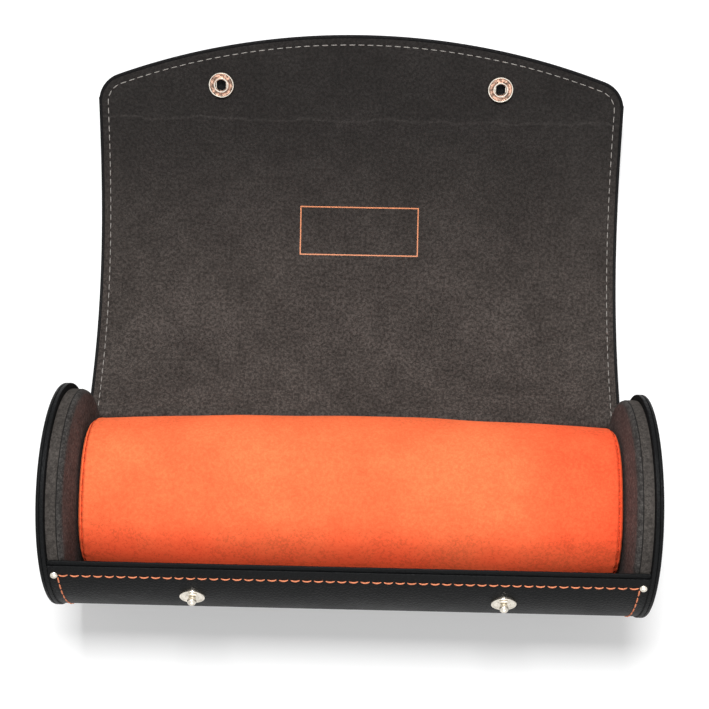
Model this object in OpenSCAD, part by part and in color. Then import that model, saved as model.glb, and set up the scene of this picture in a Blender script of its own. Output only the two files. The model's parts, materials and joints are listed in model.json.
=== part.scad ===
// Travel case for wristwatches: a round leather tray between two end discs, a flap that
// rolls over the top and snaps to the front, and one long cushion that carries the watches.
// Millimetres. X runs along the case, -Y is the front with the studs, +Z is up. The case is
// drawn open, its flap lying back. Angles "round the roll" start at the front horizontal
// and rise over the top: 90 is the top and 180 is the back.

/* [Case] */
// Distance between the inner faces of the two end discs
bay_len = 233.6; // [180:0.1:300]
// Radius of the outer leather of the tray
body_r = 45; // [40:0.1:55]
// Angle round the roll of the front edge of the outer leather
front_edge_a = 50.5; // [46:0.5:56]
// Angle round the roll of the back edge, where the flap begins
back_edge_a = 220.2; // [214:0.1:226]

/* [Wall layers] */
// Thickness of the outer leather
leather_t = 0.8; // [0.6:0.1:1.2]
// Thickness of the stiffening board
board_t = 0.5; // [0.4:0.1:1.2]
// Thickness of the suede lining
lining_t = 0.4; // [0.3:0.1:0.8]
// How far the lined lip stands above the outer leather, along the curve
lip_rise = 2; // [1:0.1:4]
// Width of the leather facing that is turned down inside the lip
facing_w = 11; // [6:0.5:20]

/* [End discs] */
// Thickness of an end disc
disc_t = 3.2; // [2.8:0.1:5]
// How far an end disc stands proud of the tray
disc_proud = 0.6; // [0.3:0.1:2]
// Thickness of the leather that covers a disc
cover_t = 0.7; // [0.5:0.1:1]
// Width of the cover that is turned in behind a disc
turn_in = 7; // [4:0.5:12]
// Rounding of the rim of a disc
rim_round = 1; // [0.5:0.1:1.3]

/* [End plugs] */
// Depth of the padded plug on the inside of a disc
plug_depth = 6.5; // [5:0.1:10]
// Thickness of the foam pad under the face of a plug
plug_pad_t = 1.3; // [0.8:0.1:2]
// Thickness of the suede on a plug
plug_suede_t = 0.6; // [0.4:0.1:0.8]
// Rounding of the face of a plug at its rim
plug_round = 0.5; // [0.2:0.1:0.6]
// Glue line between a plug and the lining round it
glue_gap = 0.05; // [0.02:0.01:0.1]

/* [Flap] */
// Length of one panel of the flap, from fold to fold
panel_len = 20.3; // [18:0.1:24]
// Room between the sides of the flap and the end discs
flap_side_gap = 1; // [0.5:0.1:3]
// Thickness of the flap's leather
flap_leather_t = 1.1; // [0.8:0.1:1.5]
// Thickness of the flap's suede lining
flap_lining_t = 0.5; // [0.3:0.1:0.8]
// Leather border that shows round the flap's lining
border_w = 1; // [0.5:0.1:3]
// Room left at each side of a fold
fold_gap = 0.15; // [0.1:0.05:0.4]
// Height of the flap's lining over the pivot at the tray's back edge
pivot_depth = 0.8; // [0.4:0.1:1.2]
// Slope of the flap where it leaves the tray
droop_a = -22; // [-28:1:-16]
// Slope of the flap at its free end
rise_a = 27; // [20:1:34]
// How early the flap turns from falling to rising, lower is earlier
curl_bias = 0.7; // [0.6:0.05:0.9]
// How far the tip reaches past the line of the snaps
tip_reach = 22.5; // [18:0.5:28]
// Radius of the bowed tip edge
tip_arc_r = 318; // [250:1:400]
// Radius of the flap's two corners
corner_r = 13.5; // [6:0.5:14]

/* [Snaps] */
// Distance between the two snaps
snap_pitch = 123; // [80:0.5:150]
// Angle round the roll of the studs on the front
stud_a = 29.2; // [25:0.1:33]
// Radius of a stud's plate
stud_plate_r = 5; // [4.5:0.1:6]
// Thickness of a stud's plate
stud_plate_t = 1; // [0.8:0.1:1.2]
// Height of a stud over the leather
stud_h = 4.4; // [4:0.1:4.6]
// Radius of the ball on a stud
ball_r = 1.85; // [1.6:0.05:2]
// Radius of a stud's neck and shank
neck_r = 1.2; // [1:0.05:1.4]
// Radius of a socket
socket_r = 5.5; // [5.2:0.1:6.5]
// Height of a socket over the flap's lining
socket_h = 2; // [1.8:0.1:2.4]
// Radius of the hole in a socket
socket_hole_r = 2.5; // [2.4:0.05:2.7]
// Radius of the spring wire in a socket
wire_r = 0.3; // [0.2:0.05:0.3]
// Radius of the barrel that joins a socket to its cap
barrel_r = 2.9; // [2.8:0.1:3.4]
// Wall of that barrel
barrel_wall = 0.5; // [0.3:0.05:0.6]
// Radius of a cap on the outside of the flap
cap_r = 6.2; // [5.6:0.1:7.5]
// Height of a cap
cap_h = 1.4; // [1:0.1:2]
// Radius of a rivet at a front corner
rivet_r = 1.65; // [1.2:0.05:2]
// Distance of the rivets from the end discs
rivet_inset = 2.2; // [2.1:0.1:6]
// Distance of the rivets from the front edge, along the curve
rivet_drop = 4.5; // [3:0.1:8]

/* [Cushion] */
// Width of the cushion from front to back
cushion_w = 69.2; // [60:0.1:74]
// Height of the cushion
cushion_h = 66; // [56:0.5:72]
// Gap between an end of the cushion and a plug
cushion_end_gap = 1.5; // [0.5:0.1:12]
// How much the cushion's half width draws in towards its ends
cushion_draw = 2.6; // [1:0.1:5]
// Rounding of the cushion's ends
cushion_round = 4; // [3:0.1:8]
// Distance of the end seams from the cushion's ends
seam_inset = 2; // [1:0.1:2.5]
// Thickness of the suede sleeve with its thin batting
sleeve_t = 1.2; // [0.8:0.1:2]
// Room between the cushion and the lining it lies on
soft_gap = 0.3; // [0.2:0.05:1]

/* [Hidden] */
$fn = 96;

// Radii of the tray's layers, from the outside in
board_r = body_r - leather_t;
lining_r = board_r - board_t;
bore_r = lining_r - lining_t;
disc_r = body_r + disc_proud;
plug_r = bore_r - glue_gap;

// Angle that an arc of this length takes at this radius
function arc_a(len, r) = len / r * 180 / PI;
lip_a = front_edge_a + arc_a(lip_rise, body_r);
fold_a = arc_a(lining_t, bore_r);
facing_a = lip_a - arc_a(facing_w, bore_r);
tray_back_a = back_edge_a - 360 + arc_a(fold_gap, body_r);
rivet_a = front_edge_a - arc_a(rivet_drop, body_r);
rivet_x = bay_len / 2 - rivet_inset;

// Flap: panels 1 to 9 in a chain, each at its own slope, with the snaps midway on the 8th
panels = 9;
snap_panel = 8;
flap_w = bay_len - 2 * flap_side_gap;
flap_t = flap_leather_t + flap_lining_t;
pivot_r = body_r + 0.1;
tail_len = tip_reach - panel_len / 2;
function polar(r, a) = [-r * cos(a), r * sin(a)];
function along(a) = [cos(a), sin(a)];
function across(a) = [-sin(a), cos(a)];
function ease(t) = t * t * (3 - 2 * t);
function slope(i) =
    droop_a + (rise_a - droop_a) * ease(pow((i - 1) / (panels - 1), curl_bias));
function fold_at(i) = i == 1
    ? polar(pivot_r, back_edge_a) + pivot_depth * across(slope(1))
    : fold_at(i - 1) + panel_len * along(slope(i - 1));
tip_slope = slope(panels);
tip_end = fold_at(panels) + tail_len * along(tip_slope) - flap_t * across(tip_slope);

// The origin stands under the middle of the open case
mid_y = (tip_end[0] - disc_r) / 2;

// Centres of the flap's corner arcs, counted from the line of the snaps
corner_x = flap_w / 2 - corner_r;
corner_y = tip_reach - tip_arc_r + sqrt(pow(tip_arc_r - corner_r, 2) - pow(corner_x, 2));
corner_lean = asin(corner_x / (tip_arc_r - corner_r));
corner_steps = 10;
tip_steps = 16;

// Cushion: superellipse sections, smaller towards the ends
cushion_half = bay_len / 2 - plug_depth - cushion_end_gap;
seam_x = cushion_half - seam_inset;
cushion_mid_z = cushion_h / 2 - bore_r + soft_gap;
section_power = 2.2;
section_sides = 36;
sleeve_rings = 14;

tray_black = [0.10, 0.11, 0.13];
board_grey = [0.55, 0.52, 0.47];
suede_grey = [0.27, 0.26, 0.25];
foam_white = [0.90, 0.88, 0.80];
nickel = [0.80, 0.80, 0.78];
orange = [0.96, 0.38, 0.20];

// ---- Placing ----

// Moves from the roll's axis to the part's origin
module at_home() translate([0, -mid_y, disc_r]) children();

// Turns a profile's plane into the plane across the case
module along_x() rotate([90, 0, 90]) children();

// Local Z points straight out of the roll, from its axis
module radial(x, a) at_home() translate([x, 0, 0]) rotate([90 - a, 0, 0]) children();

// Local Y runs along panel i from its first fold, and local Z stands on its lining
module on_panel(i) at_home() translate([0, fold_at(i)[0], fold_at(i)[1]])
    rotate([slope(i), 0, 0]) children();

// Local Z runs outwards along the case, from the inner face of the end disc
module at_end(side) at_home() rotate([0, side * 90, 0]) translate([0, 0, bay_len / 2])
    children();

module both_snaps() for (side = [-1, 1]) translate([side * snap_pitch / 2, 0, 0]) children();

// ---- Tray ----

module wall(r_in, r_out, a_from, a_to)
    at_home() along_x() rotate([0, 0, 180 - a_to])
        rotate_extrude(angle = a_to - a_from)
            translate([r_in, -bay_len / 2]) square([r_out - r_in, bay_len]);

module tray_drillings() {
    for (side = [-1, 1]) {
        radial(side * snap_pitch / 2, stud_a) cylinder(r = neck_r, h = 2 * body_r);
        radial(side * rivet_x, rivet_a) cylinder(r = rivet_r / 2, h = 2 * body_r);
    }
}

module tray_leather() color(tray_black) difference() {
    wall(board_r, body_r, tray_back_a, front_edge_a);
    tray_drillings();
}

module tray_board() color(board_grey) difference() {
    wall(lining_r, board_r, tray_back_a, lip_a - fold_a);
    tray_drillings();
}

module tray_lining() color(suede_grey) wall(bore_r, lining_r, tray_back_a, facing_a);

module front_lip_facing() color(tray_black) union() {
    wall(bore_r, lining_r, facing_a, lip_a);
    wall(bore_r, board_r, lip_a - fold_a, lip_a);
}

// ---- End discs and plugs ----

// Disc with a rounded rim on its outer side
module disc_blank() rotate_extrude() union() {
    square([disc_r - rim_round, disc_t]);
    square([disc_r, disc_t - rim_round]);
    translate([disc_r - rim_round, disc_t - rim_round]) circle(r = rim_round);
}

module disc_board(side) color(board_grey) at_end(side) translate([0, 0, cover_t])
    cylinder(r = disc_r - cover_t, h = disc_t - 2 * cover_t);

module disc_cover(side) color(tray_black) at_end(side) difference() {
    disc_blank();
    translate([0, 0, cover_t]) cylinder(r = disc_r - cover_t, h = disc_t - 2 * cover_t);
    translate([0, 0, -cover_t]) cylinder(r = disc_r - turn_in, h = 3 * cover_t);
}

module plug_core(side) color(board_grey) at_end(side) union() {
    translate([0, 0, plug_pad_t + plug_suede_t - plug_depth])
        cylinder(r = plug_r - plug_suede_t, h = plug_depth - plug_pad_t - plug_suede_t);
    cylinder(r = disc_r - turn_in, h = cover_t);
}

module plug_pad(side) color(foam_white) at_end(side)
    translate([0, 0, plug_suede_t - plug_depth])
        cylinder(r = plug_r - plug_suede_t, h = plug_pad_t);

module plug_band(side) color(suede_grey) at_end(side)
    translate([0, 0, plug_suede_t - plug_depth]) difference() {
        cylinder(r = plug_r, h = plug_depth - plug_suede_t);
        translate([0, 0, -plug_depth]) cylinder(r = plug_r - plug_suede_t, h = 3 * plug_depth);
    }

module plug_face(side) color(suede_grey) at_end(side) translate([0, 0, -plug_depth])
    rotate_extrude() union() {
        square([plug_r - plug_round, plug_suede_t]);
        translate([0, plug_round]) square([plug_r, plug_suede_t - plug_round]);
        intersection() {
            translate([plug_r - plug_round, plug_round]) circle(r = plug_round);
            square([plug_r, plug_suede_t]);
        }
    }

// ---- Studs and rivets on the front ----

module snap_stud_plates() color(nickel) for (side = [-1, 1])
    radial(side * snap_pitch / 2, stud_a) translate([0, 0, body_r]) rotate_extrude()
        polygon([
            [neck_r, 0], [stud_plate_r, 0],
            [stud_plate_r, stud_plate_t], [0.9 * stud_plate_r, stud_plate_t],
            [0.85 * stud_plate_r, 0.6 * stud_plate_t], [0.6 * stud_plate_r, 0.6 * stud_plate_t],
            [0.48 * stud_plate_r, stud_plate_t], [neck_r, stud_plate_t]
        ]);

module snap_posts() color(nickel) for (side = [-1, 1])
    radial(side * snap_pitch / 2, stud_a) union() {
        translate([0, 0, lining_r]) cylinder(r = neck_r, h = body_r + stud_h - ball_r - lining_r);
        translate([0, 0, body_r + stud_h - ball_r]) sphere(r = ball_r);
    }

module corner_rivets() color(nickel) for (side = [-1, 1])
    radial(side * rivet_x, rivet_a) union() {
        translate([0, 0, lining_r]) cylinder(r = rivet_r / 2, h = body_r - lining_r + rivet_r / 2);
        translate([0, 0, body_r]) intersection() {
            sphere(r = rivet_r);
            cylinder(r = rivet_r, h = rivet_r);
        }
    }

// ---- Flap ----

// The flap's outline round the snaps, flat, with Y counted from the line of the snaps:
// straight sides, an arc at each corner and the bowed tip between them
function arc(centre, r, from, to, steps) = [for (k = [0 : steps])
    let(a = from + (to - from) * k / steps) centre + r * [cos(a), sin(a)]];
function flap_edge(inset) = let(side_x = flap_w / 2 - inset, turn = 90 - corner_lean) concat(
    [[side_x, -2 * panel_len]],
    arc([corner_x, corner_y], corner_r - inset, 0, turn, corner_steps),
    arc([0, tip_reach - tip_arc_r], tip_arc_r - inset,
        turn + corner_lean / tip_steps, 180 - turn - corner_lean / tip_steps,
        2 * tip_steps - 2),
    arc([-corner_x, corner_y], corner_r - inset, 180 - turn, 180, corner_steps),
    [[-side_x, -2 * panel_len]]
);

// One layer of panel i, from z_low to z_high over the lining's surface
module panel_layer(i, inset, z_low, z_high) {
    end_y = i < panels ? panel_len - fold_gap : tail_len + tip_arc_r;
    on_panel(i) intersection() {
        translate([inset - flap_w / 2, fold_gap, z_low])
            cube([flap_w - 2 * inset, end_y - fold_gap, z_high - z_low]);
        if (i >= snap_panel)
            translate([0, (snap_panel - i + 0.5) * panel_len, -2 * flap_t])
                linear_extrude(height = 4 * flap_t) polygon(flap_edge(inset));
    }
}

module barrel_holes(i) if (i == snap_panel)
    on_panel(i) both_snaps() translate([0, panel_len / 2, -2 * flap_t])
        cylinder(r = barrel_r, h = 4 * flap_t);

module flap_leather(i) color(tray_black) difference() {
    panel_layer(i, 0, -flap_t, -flap_lining_t);
    barrel_holes(i);
}

module flap_lining(i) color(suede_grey) difference() {
    panel_layer(i, border_w, -flap_lining_t, 0);
    barrel_holes(i);
}

// ---- Sockets, springs and caps on the flap ----

groove_r = 0.6 * socket_r;
groove_z = socket_h / 2;
groove_h = 2 * wire_r + 0.2;
wire_x = ball_r + 0.1 + wire_r;

module at_sockets() on_panel(snap_panel) both_snaps() translate([0, panel_len / 2, 0])
    children();

module snap_sockets() color(nickel) at_sockets() rotate_extrude() difference() {
    polygon([
        [socket_hole_r, 0], [socket_r, 0],
        [socket_r, 0.8 * socket_h], [0.91 * socket_r, 0.8 * socket_h],
        [0.89 * socket_r, 0.65 * socket_h], [groove_r + 0.4, 0.65 * socket_h],
        [groove_r + 0.2, socket_h], [socket_hole_r, socket_h]
    ]);
    translate([0, groove_z - groove_h / 2]) square([groove_r, groove_h]);
}

module snap_springs() color(nickel) at_sockets() for (side = [-1, 1])
    translate([side * wire_x, 0, groove_z]) rotate([90, 0, 0])
        cylinder(r = wire_r, h = 2 * sqrt(pow(groove_r, 2) - pow(wire_x + wire_r, 2)),
            center = true);

module snap_caps() color(nickel) at_sockets() union() {
    translate([0, 0, -flap_t]) difference() {
        cylinder(r = barrel_r, h = flap_t);
        translate([0, 0, -flap_t]) cylinder(r = barrel_r - barrel_wall, h = 3 * flap_t);
    }
    translate([0, 0, -flap_t]) rotate_extrude() mirror([0, 1]) polygon(concat(
        [[0, 0], [cap_r, 0]],
        [for (a = [15 : 15 : 75]) [cap_r - cap_h * (1 - cos(a)), cap_h * sin(a)]],
        [[cap_r - cap_h, cap_h], [0, cap_h]]
    ));
}

// ---- Cushion ----

// How far the section has drawn in at x: a slow crown, and a quarter round at the ends
function crown_in(x) = cushion_draw * pow(abs(x) / cushion_half, 3);
function end_in(x) = let(d = max(0, abs(x) - cushion_half + cushion_round))
    cushion_round - sqrt(max(0, pow(cushion_round, 2) - d * d));
function curved(c) = sign(c) * pow(abs(c), 2 / section_power);
function section(x, inset) = let(shrink = crown_in(x) + end_in(x) + inset)
    [for (k = [0 : section_sides - 1]) let(a = 360 * k / section_sides) [
        x,
        (cushion_w / 2 - shrink) * curved(cos(a)),
        (cushion_h / 2 - shrink) * curved(sin(a)) + cushion_mid_z
    ]];
// Ring places along the sleeve, closer together near the seams
function sleeve_x(j) = seam_x * sin(90 * (2 * j / (sleeve_rings - 1) - 1));

// Skins a list of rings with triangles, either into a loop or with two flat ends
module skin(rings, looped) {
    n = len(rings);
    m = len(rings[0]);
    bands = [for (j = [0 : looped ? n - 1 : n - 2]) for (k = [0 : m - 1])
        let(a = j * m + k, b = j * m + (k + 1) % m)
        let(c = (j + 1) % n * m + k, d = (j + 1) % n * m + (k + 1) % m)
        each [[a, b, d], [a, d, c]]];
    caps = looped ? [] : [for (k = [1 : m - 2])
        each [[0, k + 1, k], [(n - 1) * m, (n - 1) * m + k, (n - 1) * m + k + 1]]];
    polyhedron(points = [for (r = rings) each r], faces = concat(bands, caps));
}

module cushion_foam() color(foam_white) at_home()
    skin([for (j = [0 : sleeve_rings - 1]) section(sleeve_x(j), sleeve_t)], false);

module cushion_sleeve() color(orange) at_home() skin(concat(
    [for (j = [0 : sleeve_rings - 1]) section(sleeve_x(j), 0)],
    [for (j = [sleeve_rings - 1 : -1 : 0]) section(sleeve_x(j), sleeve_t)]
), true);

module cushion_end_panels() color(orange) at_home() for (side = [0, 1]) mirror([side, 0, 0])
    skin([for (part = [0, 0.45, 0.8, 1])
        section(seam_x + part * seam_inset, part == 1 ? cushion_round : 0)], false);

tray_leather();
tray_board();
tray_lining();
front_lip_facing();
disc_board(-1);  // left_disc_board
disc_cover(-1);  // left_disc_cover
plug_core(-1);  // left_plug_core
plug_pad(-1);  // left_plug_pad
plug_band(-1);  // left_plug_band
plug_face(-1);  // left_plug_face
disc_board(1);  // right_disc_board
disc_cover(1);  // right_disc_cover
plug_core(1);  // right_plug_core
plug_pad(1);  // right_plug_pad
plug_band(1);  // right_plug_band
plug_face(1);  // right_plug_face
snap_stud_plates();
snap_posts();
corner_rivets();
flap_leather(1);  // flap_leather_1
flap_leather(2);  // flap_leather_2
flap_leather(3);  // flap_leather_3
flap_leather(4);  // flap_leather_4
flap_leather(5);  // flap_leather_5
flap_leather(6);  // flap_leather_6
flap_leather(7);  // flap_leather_7
flap_leather(8);  // flap_leather_8
flap_leather(9);  // flap_leather_9
flap_lining(1);  // flap_lining_1
flap_lining(2);  // flap_lining_2
flap_lining(3);  // flap_lining_3
flap_lining(4);  // flap_lining_4
flap_lining(5);  // flap_lining_5
flap_lining(6);  // flap_lining_6
flap_lining(7);  // flap_lining_7
flap_lining(8);  // flap_lining_8
flap_lining(9);  // flap_lining_9
snap_sockets();
snap_springs();
snap_caps();
cushion_foam();
cushion_sleeve();
cushion_end_panels();
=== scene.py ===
"""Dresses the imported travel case: leather, suede, thread and metal round its fixed frame.

Metres, in the frame of the CAD model: X runs along the case, -Y is the front with the studs
and +Z is up. Every piece is built in place, so its object stays at the origin.
"""
import json
import math

import bmesh
import bpy
import numpy as np
from mathutils import Matrix, Vector


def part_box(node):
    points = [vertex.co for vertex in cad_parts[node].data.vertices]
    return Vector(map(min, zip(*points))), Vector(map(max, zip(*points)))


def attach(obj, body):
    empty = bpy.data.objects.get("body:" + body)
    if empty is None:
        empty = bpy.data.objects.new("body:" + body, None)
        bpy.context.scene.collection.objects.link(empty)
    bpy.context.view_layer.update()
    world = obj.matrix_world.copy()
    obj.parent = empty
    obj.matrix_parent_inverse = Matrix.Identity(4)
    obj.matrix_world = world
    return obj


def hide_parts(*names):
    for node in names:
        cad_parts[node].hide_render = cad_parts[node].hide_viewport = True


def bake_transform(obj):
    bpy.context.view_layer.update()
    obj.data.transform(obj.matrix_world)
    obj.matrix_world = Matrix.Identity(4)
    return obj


bl_info = {
    "name": "Watch travel case",
    "version": (1, 0, 0),
    "blender": (4, 5, 0),
    "location": "3D View > Sidebar > Travel Case",
    "description": "Builds the leather, suede and metal of a watch travel case",
    "category": "Object",
}

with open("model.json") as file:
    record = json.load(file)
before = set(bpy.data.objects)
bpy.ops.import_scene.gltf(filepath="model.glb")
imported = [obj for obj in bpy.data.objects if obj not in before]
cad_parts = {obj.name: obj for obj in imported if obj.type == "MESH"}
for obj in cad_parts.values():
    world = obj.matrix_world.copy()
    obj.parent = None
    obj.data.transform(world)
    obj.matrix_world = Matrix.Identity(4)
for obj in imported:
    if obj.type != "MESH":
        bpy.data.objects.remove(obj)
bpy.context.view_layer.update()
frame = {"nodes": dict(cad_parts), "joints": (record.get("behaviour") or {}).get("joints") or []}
MM = 0.001

# ---- Sizes read from the frame ----

JOINTS = {j["name"]: j for j in frame["joints"]}
DISC_LOW, DISC_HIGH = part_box("left_disc_cover")
AXIS_Y = (DISC_LOW.y + DISC_HIGH.y) / 2
AXIS_Z = (DISC_LOW.z + DISC_HIGH.z) / 2
DISC_R = (DISC_HIGH.z - DISC_LOW.z) / 2
BAY_HALF = -DISC_HIGH.x
DISC_OUT_X = -DISC_LOW.x
BODY_R = AXIS_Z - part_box("tray_leather")[0].z
PLUG_LOW, PLUG_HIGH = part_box("left_plug_band")
PLUG_R = (PLUG_HIGH.z - PLUG_LOW.z) / 2
PLUG_FACE_X = -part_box("left_plug_face")[1].x
BORE_R = PLUG_R + 0.05 * MM
LEATHER_IN_R = BODY_R - 0.8 * MM
LINING_OUT_R = BORE_R + 0.4 * MM
BOARD_SHARE = 0.4 * MM  # of the board's thickness, which the tray's leather piece takes in
FLAP_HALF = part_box("flap_leather_3")[1].x + 0.6 * MM  # soft, so a little wider than its solid

# ---- Sizes of the flap's outline and of the tray's edges, as in the part's source ----

SNAP_X = 61.5 * MM
FRONT_EDGE_A = math.radians(50.5)
BACK_EDGE_A = math.radians(220.2 - 360)
LIP_A = FRONT_EDGE_A + 2 * MM / BODY_R
FACING_A = LIP_A - 11 * MM / BORE_R
STUD_A = math.radians(29.2)
RIVET_A = FRONT_EDGE_A - 4.5 * MM / BODY_R
RIVET_X = BAY_HALF - 2.2 * MM
PIVOT_DEPTH = 0.8 * MM
TIP_REACH = 22.5 * MM
TIP_ARC_R = 318 * MM
CORNER_R = 13.5 * MM
TIP_SLOPE = math.radians(27)
FLAP_T = 1.6 * MM
LINING_T = 0.5 * MM

# ---- The flap's trim: the leather border round its lining, and its crease ----

BORDER_W = 1.35 * MM
CREASE_PATH = 137.4 * MM

# ---- The flap's folds at rest, each as (y, z) on the face of its lining ----

PIVOT = np.array(JOINTS["flap_hinge"]["pos_m"][1:])
FOLDS = np.array(
    [JOINTS[f"flap_fold_{i}"]["pos_m"][1:] for i in range(2, 8)]
    + [JOINTS[name]["pos_m"][1:] for name in ("snap_tab_fold", "tail_fold")]
)
PANEL = float(np.linalg.norm(FOLDS[1] - FOLDS[0]))
_steps = np.diff(FOLDS, axis=0)
_first = FOLDS[0] - PIVOT
SLOPES = np.concatenate([
    [math.atan2(_first[1], _first[0]) - math.atan2(PIVOT_DEPTH, PANEL)],
    np.arctan2(_steps[:, 1], _steps[:, 0]),
    [TIP_SLOPE],
])
FLAP_START = FOLDS[0] - PANEL * np.array([math.cos(SLOPES[0]), math.sin(SLOPES[0])])
CLOSE_A = math.radians(JOINTS["flap_hinge"]["range_deg"][1])
# How far each fold's bend reaches to either side of it
TAB_REACH, TAIL_REACH = 3.5 * MM, 3.75 * MM
FOLD_REACH = np.array([PANEL / 2] * 6 + [TAB_REACH, TAIL_REACH])
SNAP_PATH = 7.5 * PANEL
TIP_PATH = SNAP_PATH + TIP_REACH
# Where the flap's stretch on the tray starts, and where it bends about the hinge
TRAY_END = -6 * MM
ROOT_FROM, ROOT_TO = -2.5 * MM, 3.5 * MM
TRAY_SWELL = 0.06  # how much thicker it is there


def srgb(r, g, b):
    """A screen colour of 0 to 255 as linear red, green and blue."""
    c = np.array([r, g, b]) / 255
    return tuple(np.where(c <= 0.04045, c / 12.92, ((c + 0.055) / 1.055) ** 2.4).tolist())


def ease(t):
    """Smooth step: 3t^2 - 2t^3 between 0 and 1, level outside them."""
    t = np.clip(t, 0, 1)
    return t * t * (3 - 2 * t)


def unit(vectors):
    """Each vector of the last axis at the length of 1."""
    return vectors / np.linalg.norm(vectors, axis=-1, keepdims=True)


def in_mm(rows):
    """A table in millimetres as metres."""
    return np.array(rows, float) * MM


# ---- Surfaces ----


def quads(index):
    """Four-cornered faces between the neighbours of a grid of point numbers, or of several."""
    corners = index[..., :-1, :-1], index[..., :-1, 1:], index[..., 1:, 1:], index[..., 1:, :-1]
    return np.stack(corners, -1).reshape(-1, 4)


def ring_quads(index):
    """The same on a grid whose last column joins its first one."""
    return quads(np.concatenate([index, index[..., :1]], -1))


def numbered(points):
    """The number of each point in a grid of points."""
    return np.arange(points[..., 0].size).reshape(points.shape[:-1])


def rim_of(index):
    """The point numbers once round the edge of a grid."""
    return np.concatenate([index[0], index[1:, -1], index[-1, -2::-1], index[-2:0:-1, 0]])


def closed_up(faces, rim, count):
    """Faces over `count` points, the same ones turned over on as many points more, and a wall
    between the two along their rim."""
    after = np.roll(rim, -1)
    wall = np.stack([rim, rim + count, after + count, after], -1)
    return np.concatenate([faces, faces[:, ::-1] + count, wall])


def slab(top, bottom):
    """A closed slab: two grids of points of one size, with a wall of faces round their rim."""
    index = numbered(top)
    points = np.concatenate([top.reshape(-1, 3), bottom.reshape(-1, 3)])
    return points, closed_up(quads(index), rim_of(index), index.size)


def whole_turn(count):
    """So many angles, evenly round a whole turn."""
    return np.arange(count) * 2 * math.pi / count


def rounded(corners, cut, steps=4):
    """Softens the corners of a closed outline: each becomes the parabola
    (1-t)^2 p + 2t(1-t) corner + t^2 q between the points p and q that lie `cut` away from it."""
    corner = np.array(corners, float)
    before, after = np.roll(corner, 1, 0), np.roll(corner, -1, 0)
    cut = np.broadcast_to(np.array(cut, float), len(corner))[:, None]
    p = corner + unit(before - corner) * cut
    q = corner + unit(after - corner) * cut
    t = np.linspace(0, 1, steps)[None, :, None]
    curve = (1 - t) ** 2 * p[:, None] + 2 * t * (1 - t) * corner[:, None] + t**2 * q[:, None]
    return curve.reshape(-1, 2)


def revolved(outline, sides=48):
    """Turns a closed outline of (radius, height) points once round the height:
    (r cos a, r sin a, h) for each point of the outline and each angle a."""
    r, h = np.asarray(outline, float).T
    a = whole_turn(sides)
    points = np.stack([np.outer(r, np.cos(a)), np.outer(r, np.sin(a)), np.outer(h, np.ones(sides))], -1)
    index = numbered(points)
    return points.reshape(-1, 3), ring_quads(np.concatenate([index, index[:1]]))


def bead(r, h, thick, sides=72):
    """A round cord bent into a circle of radius r at the height h, in millimetres."""
    a = whole_turn(10)
    return revolved(np.stack([r + thick * np.cos(a), h + thick * np.sin(a)], -1) * MM, sides)


def placed(shape, origin, x_dir, y_dir, z_dir):
    """Moves a shape from its own axes to three directions at an origin."""
    points, faces = shape
    return np.asarray(origin) + points @ np.array([x_dir, y_dir, z_dir], float), faces


def joined(shapes):
    """Several shapes as one."""
    points = np.concatenate([s[0] for s in shapes])
    starts = np.cumsum([0] + [len(s[0]) for s in shapes[:-1]])
    return points, np.concatenate([s[1] + start for s, start in zip(shapes, starts)])


def signed_volume(points, faces):
    """Six times the volume inside the faces, negative when they point inwards."""
    a, b, c, d = (points[faces[:, k]] for k in range(4))
    return float((np.cross(a, b) * c).sum() + (np.cross(a, c) * d).sum())


def make_piece(name, shape, material, sheet_uv=None, weld=False, smooth=35):
    """Puts a shape into a mesh object, its faces outwards, smooth up to an angle in degrees."""
    points, faces = shape
    if signed_volume(points, faces) < 0:
        faces = faces[:, ::-1]
    mesh = bpy.data.meshes.new(name)
    mesh.from_pydata(points.tolist(), [], faces.tolist())
    if sheet_uv is not None:
        layer = mesh.uv_layers.new(name="sheet")
        corner = np.zeros(len(mesh.loops), np.int32)
        mesh.loops.foreach_get("vertex_index", corner)
        layer.data.foreach_set("uv", sheet_uv[corner].astype(np.float32).ravel())
    if weld:
        form = bmesh.new()
        form.from_mesh(mesh)
        bmesh.ops.remove_doubles(form, verts=form.verts, dist=1e-7)
        form.to_mesh(mesh)
        form.free()
    mesh.validate()
    mesh.shade_smooth()
    mesh.set_sharp_from_angle(angle=math.radians(smooth))
    mesh.materials.append(material)
    obj = bpy.data.objects.new(name, mesh)
    bpy.context.scene.collection.objects.link(obj)
    return obj


# ---- Places ----


def on_roll(x, a, r):
    """The point at x, at the angle a round the roll (0 is the front, 90 degrees the top) and
    at the distance r from its axis: y = axis - r cos a, z = axis + r sin a."""
    x, a, r = np.broadcast_arrays(x, a, r)
    return np.stack([x, AXIS_Y - r * np.cos(a), AXIS_Z + r * np.sin(a)], -1)


def flap_curve(path):
    """The flap's lining at rest: y, z and slope at a distance along it from its start. The
    panels are straight, and a circle arc that touches both joins each pair round their fold."""
    path = np.asarray(path, float)
    k = np.clip(np.rint(path / PANEL).astype(int), 1, len(FOLDS)) - 1
    d = path - (k + 1) * PANEL
    reach, before, after = FOLD_REACH[k], SLOPES[k], SLOPES[k + 1]
    turn = after - before
    radius = reach / np.tan(turn / 2)
    slope = before + turn * np.clip((d + reach) / (2 * reach), 0, 1)
    y = FOLDS[k, 0] - reach * np.cos(before) + radius * (np.sin(slope) - np.sin(before))
    z = FOLDS[k, 1] - reach * np.sin(before) + radius * (np.cos(before) - np.cos(slope))
    straight = np.where(d < -reach, d + reach, np.where(d > reach, d - reach, 0))
    return y + straight * np.cos(slope), z + straight * np.sin(slope), slope


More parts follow.
